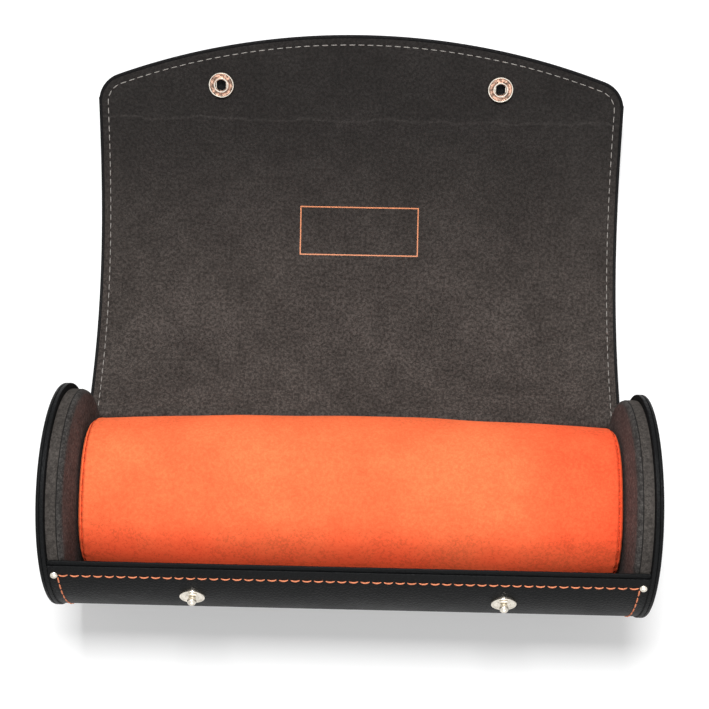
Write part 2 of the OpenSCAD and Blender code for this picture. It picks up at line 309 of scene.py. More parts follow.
def root_curve(path):
    """The lining where the flap leaves the tray, with the case closed: the tray's circle, eased
    into the line of the first panel. Gives its points and how far it is a panel, 0 to 1."""
    path = np.asarray(path, float)
    circle = on_roll(0, BACK_EDGE_A - path / BORE_R, BORE_R)[..., 1:]
    slope = SLOPES[0] + CLOSE_A
    start = PIVOT + turned(FLAP_START - PIVOT, CLOSE_A)
    line = start + path[..., None] * np.array([math.cos(slope), math.sin(slope)])
    share = ease((path + 4 * MM) / (12 * MM))
    return (1 - share[..., None]) * circle + share[..., None] * line, share


def turned(point, a):
    """(y, z) points turned about the origin by the angle a."""
    y, z = point[..., 0], point[..., 1]
    return np.stack([y * np.cos(a) - z * np.sin(a), y * np.sin(a) + z * np.cos(a)], -1)


def sheet(x, path, depth):
    """The point of the flap at x, at a distance along its lining and at a depth under it: the
    curve's point less depth times its normal. Before the middle of the first panel the closed
    curve is taken and turned open about the hinge, by an angle that eases in along it; the
    part on the tray is a little thicker, so that it covers the tray's own layers."""
    x, path, depth = (np.asarray(v, float) for v in np.broadcast_arrays(x, path, depth))
    y, z, slope = flap_curve(path)
    flat = np.stack([y - depth * -np.sin(slope), z - depth * np.cos(slope)], -1)
    closed, share = root_curve(path)
    step = 0.02 * MM
    run = root_curve(path + step)[0] - root_curve(path - step)[0]
    run = unit(run)
    normal = np.stack([-run[..., 1], run[..., 0]], -1)
    wall = closed - (depth * (1 + TRAY_SWELL * (1 - share)))[..., None] * normal
    bend = ease((path - ROOT_FROM) / (ROOT_TO - ROOT_FROM))
    root = PIVOT + turned(wall - PIVOT, -CLOSE_A * bend)
    place = np.where((path < PANEL / 2)[..., None], root, flat)
    return np.concatenate([x[..., None], place], -1)


def half_width(path):
    """Half of the flap's width, which widens to the tray's own on the tray."""
    return FLAP_HALF + (BAY_HALF - 0.05 * MM - FLAP_HALF) * ease((1 * MM - path) / (3 * MM))


# ---- The flap's plan: points (x, path), how deep they lie inside its edge, faces and rim ----


def strip_plan(path_from, path_to, rows, inset, edges, columns):
    """A straight stretch of the flap, cut `inset` inside its sides: rows across it, with
    columns at the distances `edges` from either side and even ones between them."""
    path = np.linspace(path_from, path_to, rows)[:, None]
    half = half_width(path) - inset
    middle = np.linspace(-1, 1, columns)[1:-1]
    x = np.concatenate([-half + edges, middle * (half - edges[-1]), half - edges[::-1]], 1)
    deep = np.broadcast_to(np.minimum(half - np.abs(x), edges[-1]), x.shape)
    index = np.arange(x.size).reshape(x.shape)
    plan = np.stack([x, np.broadcast_to(path, x.shape)], -1).reshape(-1, 2)
    return plan, deep.ravel(), quads(index), rim_of(index)


CORNER_X = FLAP_HALF - CORNER_R
CORNER_Y = TIP_REACH - TIP_ARC_R + math.sqrt((TIP_ARC_R - CORNER_R) ** 2 - CORNER_X**2)
CORNER_LEAN = math.asin(CORNER_X / (TIP_ARC_R - CORNER_R))


def tip_outline(inset, corner_steps=12, bow_steps=60):
    """The flap's end, `inset` inside its edge, from the right side to the left: an arc round
    each corner and the bowed tip between them, as (x, path)."""
    turn = math.pi / 2 - CORNER_LEAN
    corner = np.linspace(0, turn, corner_steps)
    bow = np.linspace(turn, math.pi - turn, bow_steps)[1:-1]
    right = np.stack([CORNER_X + (CORNER_R - inset) * np.cos(corner),
                      CORNER_Y + (CORNER_R - inset) * np.sin(corner)], -1)
    tip = np.stack([(TIP_ARC_R - inset) * np.cos(bow),
                    TIP_REACH - TIP_ARC_R + (TIP_ARC_R - inset) * np.sin(bow)], -1)
    left = right[::-1] * [-1, 1]
    return np.concatenate([right, tip, left]) + [0, SNAP_PATH]


def tip_plan(path_from, rows, inset, edges):
    """The flap's end from path_from on: rings at the distances `edges` inside its outline, and
    inside the last ring columns along the flap, each cut into the same number of rows."""
    share = np.linspace(0, 1, rows)
    rings = []
    for edge in edges:
        end = tip_outline(inset + edge)
        side = np.stack([np.full(rows, end[0, 0]), path_from + (end[0, 1] - path_from) * share], -1)
        rings.append(np.concatenate([side, end[1:-1], side[::-1] * [-1, 1]]))
    last = tip_outline(inset + edges[-1])
    x = np.repeat(last[:, :1], rows, 1)
    path = path_from + (last[:, 1:] - path_from) * share
    count = len(rings[0])
    outer = np.arange((len(edges) - 1) * count).reshape(-1, count)
    inner = np.arange(x.size).reshape(x.shape) + outer.size
    edge_of_inner = np.concatenate([inner[0], inner[1:-1, -1], inner[-1, ::-1]])
    ring_index = np.concatenate([outer, edge_of_inner[None]])
    rim = np.concatenate([ring_index[0], ring_index[1:-1, -1], inner[::-1, 0], ring_index[-2:0:-1, 0]])
    plan = np.concatenate([np.concatenate(rings[:-1]), np.stack([x, path], -1).reshape(-1, 2)])
    deep = np.concatenate([np.repeat(edges[:-1], count), np.full(x.size, edges[-1])])
    return plan, deep, np.concatenate([quads(ring_index), quads(inner)[:, ::-1]]), rim


def relief(x, path):
    """Unevenness of the lining, in depth: slow waves of 0.1 mm, which fade towards its edges,
    and the crease before the snaps, a low ridge of the form e^-(d/w)^2 with a groove behind."""
    wave = np.sin(41 * x + 23 * path + 1) * np.sin(67 * path - 19 * x)
    wave = wave + 0.6 * np.sin(97 * x + 0.5) * np.sin(113 * path)
    d = path - CREASE_PATH - 0.6 * MM * np.sin(31 * x)
    crease = 0.07 * np.exp(-(((d - 1.4 * MM) / (0.9 * MM)) ** 2)) - 0.13 * np.exp(-((d / (0.7 * MM)) ** 2))
    fade = ease((FLAP_HALF - np.abs(x) - 6 * MM) / (6 * MM)) * ease((SNAP_PATH - path) / (8 * MM))
    return MM * (0.1 * wave + crease) * fade * ease(path / (12 * MM))


def layer(plan_of, under, over, uneven):
    """One closed layer of the flap over a plan. under and over are tables of (distance inside
    the edge, depth under the lining's face) for its upper and lower side. An uneven layer has
    the lining's relief on its upper side."""
    plan, deep, faces, rim = plan_of
    sides = []
    for table, amount in ((over, uneven), (under, 0.0)):
        depth = np.interp(deep, *table.T)
        depth = depth + amount * relief(plan[:, 0], plan[:, 1])
        sides.append(sheet(plan[:, 0], plan[:, 1], depth))
    shape = np.concatenate(sides), closed_up(faces, rim, len(plan))
    return shape, np.concatenate([plan, plan])


# Upper and lower side of the flap's leather and of its lining near the edge, as (distance inside
# the edge, depth) in metres: the leather's border is round, and the stitches press the lining in
LEATHER_OVER = in_mm([(0, 0.75), (0.1, 0.4), (0.25, 0.2), (0.5, 0.12), (1.1, 0.12), (1.35, 0.24),
                      (1.55, 0.52), (1.9, 0.56)])
LEATHER_UNDER = in_mm([(0, 0.95), (0.1, 1.3), (0.25, 1.5), (0.5, 1.6)])
LINING_OVER = in_mm([(0, 0.4), (0.12, 0.14), (0.3, 0.03), (0.6, 0), (2.2, 0), (2.55, 0.05),
                     (2.9, 0.11), (3.25, 0.05), (3.7, 0)])
LINING_UNDER = in_mm([(0, 0.47), (0.3, 0.5)])


FOLD_7_END = 7 * PANEL + TAB_REACH
# Each stretch of the flap: its name, its two bodies, and where along the lining it starts and ends
STRETCHES = [("root", "tray", "flap_1", TRAY_END, PANEL / 2)]
STRETCHES += [(f"fold_{i}", f"flap_{i}", f"flap_{i + 1}", (i - 0.5) * PANEL, (i + 0.5) * PANEL)
              for i in range(1, 7)]
STRETCHES += [("fold_7", "flap_7", "snap_tab", 6.5 * PANEL, FOLD_7_END),
              ("tip", "snap_tab", "flap_tail", FOLD_7_END, TIP_PATH)]
STRETCH_ENDS = np.array([s[4] for s in STRETCHES])
# A short length at each end of a stretch, which bend_with_flap takes off when it works out the ends of the
# bend
FIRM_END = 0.3 * MM


def bend_with_flap(obj, k):
    """Bakes the place of a finished piece of stretch k into its mesh. The ends of its bend between the
    stretch's two bodies are worked out but not used.
    """
    name, before, after, start, end = STRETCHES[k]
    if name == "root":
        (_, y0, _), (_, y1, z1) = sheet(0, ROOT_FROM, 0), sheet(0, ROOT_TO, 0)
        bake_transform(obj)
        return
    if name == "tip":
        start, end = 8 * PANEL - TAIL_REACH, 8 * PANEL + TAIL_REACH
    else:
        start, end = start + FIRM_END, end - FIRM_END
    start, end = (tuple(sheet(0, path, LINING_T)) for path in (start, end))
    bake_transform(obj)


# ---- Stitches ----


def threads(centre, run, out, length, radius, lift, sway=0.0):
    """Short stitches of thread: along each, u from -1 to 1, the point is
    centre + u length/2 run + (1 - u^2) (lift out + sway side), with a round section of
    radius radius (1 - u^4)^(1/2) about it."""
    side = np.cross(run, out)
    u = np.array([-1, -0.9, -0.6, -0.2, 0.2, 0.6, 0.9, 1])
    a = whole_turn(6)
    middle = (centre[:, None] + (u * length / 2)[:, None] * run[:, None]
              + (1 - u**2)[:, None] * (lift * out + sway * side)[:, None])
    thick = radius * np.sqrt(1 - u**4)
    ring = (np.cos(a)[:, None] * side[:, None, None] + np.sin(a)[:, None] * out[:, None, None])
    points = middle[:, :, None] + thick[:, None, None] * ring
    return points.reshape(-1, 3), ring_quads(numbered(points))


def even_marks(line, pitch):
    """Points spread evenly along a line of points, and the line's direction at each of them."""
    gaps = np.linalg.norm(np.diff(line, axis=0), axis=1)
    along = np.concatenate([[0], np.cumsum(gaps)])
    count = int(along[-1] / pitch)
    marks = (np.arange(count) + 0.5) * along[-1] / count

    def at(distance):
        """The line's point at a distance along it."""
        return np.stack([np.interp(distance, along, column) for column in line.T], -1)

    return at(marks), unit(at(marks + pitch / 8) - at(marks - pitch / 8))


# ---- Materials ----


class Wires:
    """A material's node tree, with its shader at hand."""

    def __init__(self, name):
        self.material = bpy.data.materials.new(name)
        self.material.use_nodes = True
        self.tree = self.material.node_tree
        self.shader = next(n for n in self.tree.nodes if n.type == "BSDF_PRINCIPLED")

    def add(self, kind, links=(), **values):
        """A node of a kind, its sockets set by name and its links made as (socket, output)."""
        made = self.tree.nodes.new("ShaderNode" + kind)
        for key, value in values.items():
            if hasattr(made, key):
                setattr(made, key, value)
            else:
                made.inputs[key.replace("_", " ")].default_value = value
        for socket, output in links:
            self.tree.links.new(output, made.inputs[socket])
        return made

    def feed(self, socket, value):
        """Links a socket to an output, or sets its value."""
        if isinstance(value, bpy.types.NodeSocket):
            self.tree.links.new(value, socket)
        else:
            socket.default_value = value

    def finish_with(self, **sockets):
        """Sets or links the shader's own sockets."""
        for key, value in sockets.items():
            self.feed(self.shader.inputs[key.replace("_", " ")], value)
        return self.material

    def place(self, on_sheet, scale=(1, 1, 1)):
        """Object coordinates, or the flap's own sheet coordinates, stretched by a scale."""
        if on_sheet:
            source = self.add("UVMap", uv_map="sheet").outputs["UV"]
        else:
            source = self.add("TexCoord").outputs["Object"]
        return self.add("Mapping", [("Vector", source)], Scale=scale).outputs["Vector"]

    def noise(self, place, scale, detail=3.0, roughness=0.6):
        """Fractal noise with so many features to the metre."""
        return self.add("TexNoise", [("Vector", place)], Scale=scale, Detail=detail,
                        Roughness=roughness).outputs["Fac"]

    def spread(self, value, low, high, to_low=0.0, to_high=1.0):
        """Stretches a value from one range to another and holds it there."""
        made = self.add("MapRange", [("Value", value)], interpolation_type="SMOOTHSTEP",
                        From_Min=low, From_Max=high, To_Min=to_low, To_Max=to_high)
        return made.outputs["Result"]

    def maths(self, operation, one, other=0.0, **settings):
        """A number worked out from one or two numbers."""
        made = self.add("Math", operation=operation, **settings)
        self.feed(made.inputs[0], one)
        self.feed(made.inputs[1], other)
        return made.outputs[0]

    def vector(self, operation, one, other=(0, 0, 0), output="Vector"):
        """A vector, or its length, worked out from one or two vectors."""
        made = self.add("VectorMath", operation=operation)
        self.feed(made.inputs[0], one)
        self.feed(made.inputs[1], other)
        return made.outputs[output]

    def mix(self, factor, one, other, blend="MIX"):
        """Two colours mixed by a factor."""
        made = self.add("Mix", data_type="RGBA", blend_type=blend)
        self.feed(made.inputs[0], factor)
        for socket, value in ((made.inputs[6], one), (made.inputs[7], other)):
            self.feed(socket, (*value[:3], 1) if isinstance(value, tuple) else value)
        return made.outputs[2]

    def times(self, base, other):
        """A colour multiplied by a number or a colour."""
        return self.mix(1.0, base, other, "MULTIPLY")

    def bump(self, height, distance, strength=1.0, under=None):
        """Relief from a height, over another one if it is given."""
        links = [("Height", height)] + ([("Normal", under)] if under else [])
        return self.add("Bump", links, Distance=distance, Strength=strength).outputs["Normal"]


def shade(colour, factor):
    """A colour made darker or lighter."""
    return tuple(min(1.0, c * factor) for c in colour)


# Suede's noises, as features to the metre: wide patches and clouds, short grain and fine fuzz
PATCHES, CLOUDS, GRAIN, FUZZ = 34, 150, 760, 1700
# Between these places along the lining its colour carries painted shade for the light falling off towards the
# tip: a little lighter near the tray, darker and of less contrast towards the tip
TIP_SHADE_SPAN = (30 * MM, 155 * MM)
PAINTED_LIGHT_LOW, PAINTED_SHADE_TIP, TIP_SHADE_CALM = (1.12, 1.12, 1.12), (0.43, 0.465, 0.49), 0.35
# Where the cushion's painted shade, a deeper and redder colour, takes over, to its right and to its front
CUSHION_SHADE_X, CUSHION_SHADE_Y = (55 * MM, 108 * MM), (AXIS_Y - 8 * MM, AXIS_Y - 30 * MM)
# Where painted shade on a plug's face starts and reaches its full depth, from the roll's axis: where the face
# turns down to its seam
SHOULDER_SHADE_SPAN = (PLUG_R - 3 * MM, PLUG_R - 1 * MM)


def painted_cushion_shade(w, place, base, deep):
    """Painted shade: a deeper, redder colour over the cushion's right end and over its front, which faces
    away from the key lamp, with an uneven edge.
    """
    axes = w.add("SeparateXYZ", [("Vector", place)])
    share = w.maths("MAXIMUM", w.spread(axes.outputs["X"], *CUSHION_SHADE_X), w.spread(axes.outputs["Y"], *CUSHION_SHADE_Y))
    uneven = w.spread(w.noise(place, 22, 3.0), 0.3, 0.7, -0.3, 0.3)
    return w.mix(w.maths("ADD", share, uneven, use_clamp=True), base, deep)


def painted_shoulder_shade(w, place, base, amount):
    """Painted shade: a colour darkened to `amount` of its light where a plug's face turns down to its seam,
    against the light its shoulder catches.
    """
    across = w.vector("MULTIPLY", w.vector("SUBTRACT", place, (0, AXIS_Y, AXIS_Z)), (0, 1, 1))
    return w.times(base, w.spread(w.vector("LENGTH", across, output="Value"), *SHOULDER_SHADE_SPAN, 1.0, amount))


def painted_tip_shade(w, place, base, colour):
    """Painted shade on the lining's suede: lighter near the tray, darker and calmer towards the tip, with a
    paler line along its crease.
    """
    path = w.add("SeparateXYZ", [("Vector", place)]).outputs["Y"]
    base = w.mix(w.spread(path, *TIP_SHADE_SPAN, 0.0, TIP_SHADE_CALM), base, colour)
    base = w.times(base, w.mix(w.spread(path, *TIP_SHADE_SPAN), PAINTED_LIGHT_LOW, PAINTED_SHADE_TIP))
    stray = 1.2 * MM
    line = w.spread(w.noise(place, 60, 4.0), 0.2, 0.8, CREASE_PATH - stray, CREASE_PATH + stray)
    off = w.maths("ABSOLUTE", w.maths("SUBTRACT", path, line))
    return w.times(base, w.spread(off, 0.0, 1.0 * MM, 1.4, 1.0))


def suede(name, colour, on_sheet=False, patches=0.13, grain=0.36, nap=0.00012, sheen=0.15,
          deep=None, raised_from=500, shoulder=None):
    """Suede: its colour varies by `patches` in wide patches and clouds where the nap lies
    differently, and by `grain` in a short grain and a fine fuzz. Noises finer than raised_from
    stand out as relief too."""
    w = Wires(name)
    place = w.place(on_sheet)
    # deep is the colour of the cushion's painted shade
    base = painted_cushion_shade(w, place, colour, deep) if deep else colour
    height = None
    noises = (PATCHES, patches), (CLOUDS, patches * 0.8), (GRAIN, grain), (FUZZ, grain * 0.8)
    for scale, amount in noises:
        cloud = w.noise(place, scale, 2.0)
        base = w.times(base, w.spread(cloud, 0.33, 0.67, 1 - amount, 1 + amount))
        if scale > raised_from:
            height = w.bump(cloud, nap, 0.7, height)
    # painted shade on the shoulder of a plug's face
    if shoulder:
        base = painted_shoulder_shade(w, place, base, shoulder)
    # painted shade on the lining, darker towards the flap's tip
    if on_sheet:
        base = painted_tip_shade(w, place, base, colour)
    return w.finish_with(Base_Color=base, Normal=height, Roughness=0.95, Sheen_Weight=sheen,
                         Sheen_Roughness=0.6, Sheen_Tint=(*shade(colour, 1.6), 1), Specular_IOR_Level=0.1)


def leather(name, colour, on_sheet=False, grain=620, depth=0.0001, roughness=(0.47, 0.54)):
    """Fine pressed leather: small pebbles with sunken valleys between them, which carry painted shade, and a
    gloss that varies.
    """
    w = Wires(name)
    place = w.place(on_sheet)
    pebbles = w.add("TexVoronoi", [("Vector", place)], feature="DISTANCE_TO_EDGE", Scale=grain)
    creases_and_shade = w.spread(pebbles.outputs["Distance"], 0.0, 0.25)
    pores = w.noise(place, grain * 1.7, 2.0)
    wear = w.noise(place, 70, 4.0)
    # painted shade: the valleys between the pebbles darker
    base = w.mix(creases_and_shade, shade(colour, 0.7), colour)
    base = w.mix(w.spread(wear, 0.4, 0.7, 0.0, 0.3), base, shade(colour, 1.3))
    relief = w.bump(creases_and_shade, depth, 0.7, w.bump(pores, depth, 0.6))
    return w.finish_with(Base_Color=base, Normal=relief, Specular_IOR_Level=0.09,
                         Roughness=w.spread(wear, 0.3, 0.7, *roughness))


def nickel(name, colour):
    """Polished nickel with faint wiping marks and dull spots."""
    w = Wires(name)
    marks = w.noise(w.place(False, (1, 6, 1)), 700, 4.0)
    dull = w.noise(w.place(False), 420, 3.0)
    base = w.mix(w.spread(dull, 0.4, 0.6), colour, shade(colour, 0.82))
    return w.finish_with(Base_Color=base, Metallic=1.0, Normal=w.bump(marks, 0.000008, 0.5),
                         Roughness=w.spread(dull, 0.35, 0.75, 0.16, 0.34))


def pitted_metal(name, colour):
    """Rough metal with dark pits, as on the sockets' flat rings, whose warm tint is partly their own and
    partly a painted reflection of the orange cushion.
    """
    w = Wires(name)
    pits = w.noise(w.place(False), 750, 3.0)
    base = w.mix(w.spread(pits, 0.44, 0.56), shade(colour, 0.3), colour)
    return w.finish_with(Base_Color=base, Metallic=0.85, Normal=w.bump(pits, 0.00012, 0.9),
                         Roughness=w.spread(pits, 0.35, 0.7, 0.3, 0.5))


def thread(name, colour):
    """Waxed thread, its plies as fine slanting lines."""
    w = Wires(name)
    plies = w.noise(w.place(False, (1, 1, 2.5)), 2200, 2.0)
    base = w.mix(w.spread(plies, 0.35, 0.65), shade(colour, 0.72), shade(colour, 1.1))
    return w.finish_with(Base_Color=base, Normal=w.bump(plies, 0.00008, 0.8), Roughness=0.7,
                         Specular_IOR_Level=0.15)


def foil(name, colour):
    """Pressed foil, broken by the suede's nap under it."""
    w = Wires(name)
    nap = w.noise(w.place(True), 1800, 3.0)
    base = w.mix(w.spread(nap, 0.35, 0.6), shade(colour, 0.7), colour)
    return w.finish_with(Base_Color=base, Normal=w.bump(nap, 0.00005, 0.6), Roughness=0.5,
                         Specular_IOR_Level=0.5)


def pressed_board(name, colour):
    """Grey board with flecks of fibre."""
    w = Wires(name)
    flecks = w.noise(w.place(False), 900, 4.0)
    base = w.mix(w.spread(flecks, 0.4, 0.6), shade(colour, 0.8), shade(colour, 1.1))
    return w.finish_with(Base_Color=base, Normal=w.bump(flecks, 0.00005, 0.5), Roughness=0.9)


# What makes each finish, and what is special about it
FINISHES = {
    "leather_black": (leather, {}),
    "leather_flap": (leather, {"on_sheet": True}),
    "suede_lining": (suede, {"on_sheet": True}),
    "suede_tray": (suede, {}),
    "suede_plug_band": (suede, {"patches": 0.1, "grain": 0.25}),
    # shoulder: how far painted shade darkens the face's edge
    "suede_plug_face": (suede, {"shoulder": 0.6}),
    "suede_orange": (suede, {"patches": 0.045, "grain": 0.1, "nap": 0.0002, "sheen": 0.25,
                             "raised_from": 1000}),
    "suede_seam": (suede, {}),
    "nickel": (nickel, {}),
    "nickel_warm": (pitted_metal, {}),
    "thread_grey": (thread, {}),
    "thread_orange": (thread, {}),
    "thread_dark": (thread, {}),
    "foil_orange": (foil, {}),
    "board_grey": (pressed_board, {}),
}


def finish(context, name):
    """The finish of this name, made once from its colour in the finish settings. The frame's own
    materials have names like slots, so a finish's material is named apart from them."""
    label = name + "_finish"
    known = bpy.data.materials.get(label)
    if known:
        return known
    colours = context.scene.case_finish
    maker, special = FINISHES[name]
    # the cushion also gets the colour of its painted shade
    if name == "suede_orange":
        special = {**special, "deep": tuple(colours.suede_orange_shade)}
    return maker(label, tuple(getattr(colours, name)), **special)


# ---- Settings ----


def length(name, description, default):
    """A length that a user may change, from its millimetres."""
    return bpy.props.FloatProperty(name=name, description=description, default=default * MM,
                                   min=0, max=1, unit="LENGTH", subtype="DISTANCE", precision=5)


def colour(name, description, r, g, b):
    """A colour that a user may change, from its screen values."""
    return bpy.props.FloatVectorProperty(name=name, description=description, default=srgb(r, g, b),
                                         size=3, min=0, max=1, subtype="COLOR")


class CaseSizes(bpy.types.PropertyGroup):
    """Lengths of the trim that the frame doesn't fix."""

    lining_stitch_pitch: length("Lining stitch pitch", "From stitch to stitch round the flap", 3.95)
    lining_stitch_length: length("Lining stitch length", "Length of a stitch round the flap", 2.8)
    lining_stitch_inset: length("Lining stitch inset", "From the flap's edge to its stitches", 4.25)
    lining_thread: length("Lining thread radius", "Radius of the thread round the flap", 0.21)
    front_stitch_pitch: length("Front stitch pitch", "From stitch to stitch on the tray", 4.53)
    front_stitch_length: length("Front stitch length", "Length of a stitch on the tray", 3.7)
    front_thread: length("Front thread radius", "Radius of the thread on the tray", 0.31)
    foil_line: length("Foil line", "Width of the foil line", 0.52)
    foil_width: length("Foil width", "Width of the foil rectangle", 53.4)
    foil_height: length("Foil height", "Height of the foil rectangle, along the flap", 22)
    foil_path: length("Foil place", "From the flap's start to the foil rectangle", 76.9)
    plug_crown: length("Plug crown", "How far the middle of a plug's face swells", 0.2)
    plug_stitch_pitch: length("Plug stitch pitch", "From stitch to stitch in a plug's seam", 1.7)
    cushion_swell: length("Cushion swell", "Most that the cushion's skin may move when it fills", 2)


class CaseFinish(bpy.types.PropertyGroup):
    """Colours of the finishes."""

    leather_black: colour("Tray leather", "Leather of the tray and the discs", 15, 16, 17)
    leather_flap: colour("Flap leather", "Leather of the flap", 15, 15, 16)
    suede_lining: colour("Flap lining", "Suede inside the flap", 61, 56, 53)
    suede_tray: colour("Tray lining", "Suede inside the tray", 66, 61, 58)
    suede_plug_band: colour("Plug band", "Suede round a plug", 66, 62, 59)
    suede_plug_face: colour("Plug face", "Suede on a plug's face", 77, 74, 72)
    suede_orange: colour("Cushion", "Suede of the cushion", 254, 115, 70)
    suede_orange_shade: colour("Cushion shade", "Painted shade on the cushion's front and right end", 253, 90, 54)
    suede_seam: colour("Cushion seam shade", "Fold of the cushion's end seams", 204, 66, 36)
    nickel: colour("Nickel", "Studs, caps and rivets", 232, 225, 212)
    # the sockets' warm tint is partly a painted reflection of the orange cushion
    nickel_warm: colour("Nickel with painted reflection", "Snap sockets", 206, 168, 146)
    thread_grey: colour("Grey thread", "Stitches round the flap", 152, 148, 143)
    thread_orange: colour("Orange thread", "Stitches on the tray", 236, 144, 104)
    thread_dark: colour("Dark thread", "Stitches of the plugs' seams", 24, 22, 21)
    foil_orange: colour("Foil", "Rectangle on the flap's lining", 214, 132, 84)
    board_grey: colour("Board", "Board inside the discs and plugs", 150, 142, 130)


# ---- Pieces ----


# How the tray's layers thin out towards their front edges, in metres: (distance from the edge,
# how far the inner side lies outwards there, how far the outer side lies inwards)
LEATHER_EDGE = in_mm([(0, 0.72, 0.38), (0.06, 0.58, 0.2), (0.18, 0.47, 0.07), (0.4, 0.4, 0), (3, 0, 0)])
LIP_EDGE = in_mm([(0, 0.4, 0.42), (0.07, 0.2, 0.22), (0.2, 0.07, 0.08), (0.45, 0, 0)])
LINING_EDGE = in_mm([(0, 0.1, 0.1), (0.1, 0.03, 0.03), (0.25, 0, 0)])


def curved_wall(angles, radii, rows, edge):
    """A closed wall round the roll, as long as the bay, between two angles and two radii. It
    thins out towards its last angle by the table `edge`."""
    (a_from, a_to), (in_r, out_r) = angles, radii
    near, inner, outer = edge.T
    a = a_from + (a_to - a_from) * np.linspace(0, 1, rows)
    a = np.concatenate([a[a < a_to - near[-1] / BODY_R], a_to - near[::-1] / BODY_R])[:, None]
    left = (a_to - a) * BODY_R
    x = np.linspace(-BAY_HALF, BAY_HALF, 26)
    return slab(on_roll(x, a, np.interp(left, near, in_r + inner)),
                on_roll(x, a, np.interp(left, near, out_r - outer)))


def build_tray(context):
    """Outer leather, its lining and the facing inside the front lip."""
    start = BACK_EDGE_A - TRAY_END / BORE_R
    walls = (
        ("tray_leather_skin", "leather_black", "leather_black", ("tray_leather", "tray_board"),
         curved_wall((start, FRONT_EDGE_A), (LEATHER_IN_R - BOARD_SHARE, BODY_R), 150, LEATHER_EDGE)),
        ("front_lip_cover", "leather_black", "leather_black", ("front_lip_facing",),
         curved_wall((FACING_A, LIP_A), (BORE_R, LEATHER_IN_R), 26, LIP_EDGE)),
        ("tray_suede_lining", "suede_grey", "suede_tray", ("tray_lining",),
         curved_wall((start, FACING_A), (BORE_R, LINING_OUT_R), 150, LINING_EDGE)),
    )
    for name, slot, finish_name, nodes, shape in walls:
        piece = make_piece(name, shape, finish(context, finish_name))
        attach(piece, "tray")
        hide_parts(*nodes)


def at_end(side, out):
    """Origin and directions on the inner face of the end disc at a side. The last direction
    points out of the case, or into it."""
    z_dir = np.array([side if out else -side, 0, 0])
    y_dir = np.array([0, 0, 1.0])
    return (side * BAY_HALF, AXIS_Y, AXIS_Z), np.cross(y_dir, z_dir), y_dir, z_dir


SIDES = (("left", -1), ("right", 1))
DISC_SIDES = PLUG_SIDES = 160


def dress_node(context, node):
    """Gives one of the frame's own solids the finish of grey board."""
    materials = frame["nodes"][node].data.materials
    materials.clear()
    materials.append(finish(context, "board_grey"))


def build_discs(context):
    """Round end discs: board inside a leather cover whose rounded rim has a fine groove. The
    outline is (radius, height over the disc's inner face) in millimetres."""
    thick = (DISC_OUT_X - BAY_HALF) / MM
    r = DISC_R / MM
    outline = rounded(
        [(0, 0.05), (r - 5, 0.05), (r, 0), (r, 1.45), (r - 0.35, 1.65), (r, 1.85), (r, thick),
         (r - 4, thick), (r - 9, thick - 0.15), (0, thick - 0.15)],
        [0.01, 1.5, 0.5, 0.12, 0.06, 0.12, 1.1, 1.5, 2.5, 0.01], 8)
    for word, side in SIDES:
        shape = placed(revolved(outline * MM, DISC_SIDES), *at_end(side, True))
        piece = make_piece(f"{word}_disc_leather", shape, finish(context, "leather_black"), weld=True)
        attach(piece, "tray")
        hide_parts(f"{word}_disc_cover")
        dress_node(context, f"{word}_disc_board")


# Round at the edge of a plug's face, in millimetres
SHOULDER_R = 2.1


def band_outline(r, deep):
    """A plug's band in millimetres, as (radius, height over the disc): r is its radius and deep
    how far its face lies from the disc."""
    corners = [(r - 2.5, 0), (r - 0.1, 0), (r, 2.2), (r - 0.1, deep - 2.6), (r - 0.65, deep - 1.75),
               (r - 2.5, deep - 2.4)]
    return rounded(corners, [0.2, 0.4, 1, 0.7, 0.25, 0.4], 6)


def face_outline(r, deep, crown):
    """A plug's face: it swells by crown (1 - q^2)^1.5 for q from 0 at its middle to 1, a quarter
    round turns it down, and a lip runs in under the seam."""
    turn = np.linspace(math.pi / 2, 0, 12)
    foot = deep - SHOULDER_R
    middle = r - 0.2 - SHOULDER_R
    shoulder = np.stack([middle + SHOULDER_R * np.cos(turn), foot + SHOULDER_R * np.sin(turn)], -1)
    q = np.linspace(0, 1, 24)[:-1]
    swell = np.stack([q * shoulder[0, 0], deep + crown * (1 - q**2) ** 1.5], -1)
    lip = [(r - 0.35, foot - 0.05), (r - 0.8, foot + 0.1), (r - 3, foot)]
    return np.concatenate([[(0, foot)], swell, shoulder, lip])


def plug_seam(r, deep, pitch):
    """The dark cord in a plug's seam with slanting stitches over it, `pitch` metres apart."""
    a = whole_turn(int(2 * math.pi * (r - 0.4) * MM / pitch))
    a += a[1] / 2
    outward = np.stack([np.cos(a), np.sin(a), np.zeros(len(a))], -1)
    tangent = np.stack([-np.sin(a), np.cos(a), np.zeros(len(a))], -1)
    up = np.array([0, 0, 1.0])
    lean, slant = math.asin(0.3), math.acos(0.85)
    centre = (r - 0.5) * MM * outward + (deep - 2) * MM * up
    out = math.cos(lean) * outward + math.sin(lean) * up
    run = math.cos(slant) * np.cross(out, tangent) + math.sin(slant) * tangent
    stitches = threads(centre, run, out, 1.1 * MM, 0.17 * MM, 0.12 * MM)
    return joined([stitches, bead(r - 0.24, deep - 2.2, 0.2, PLUG_SIDES)])


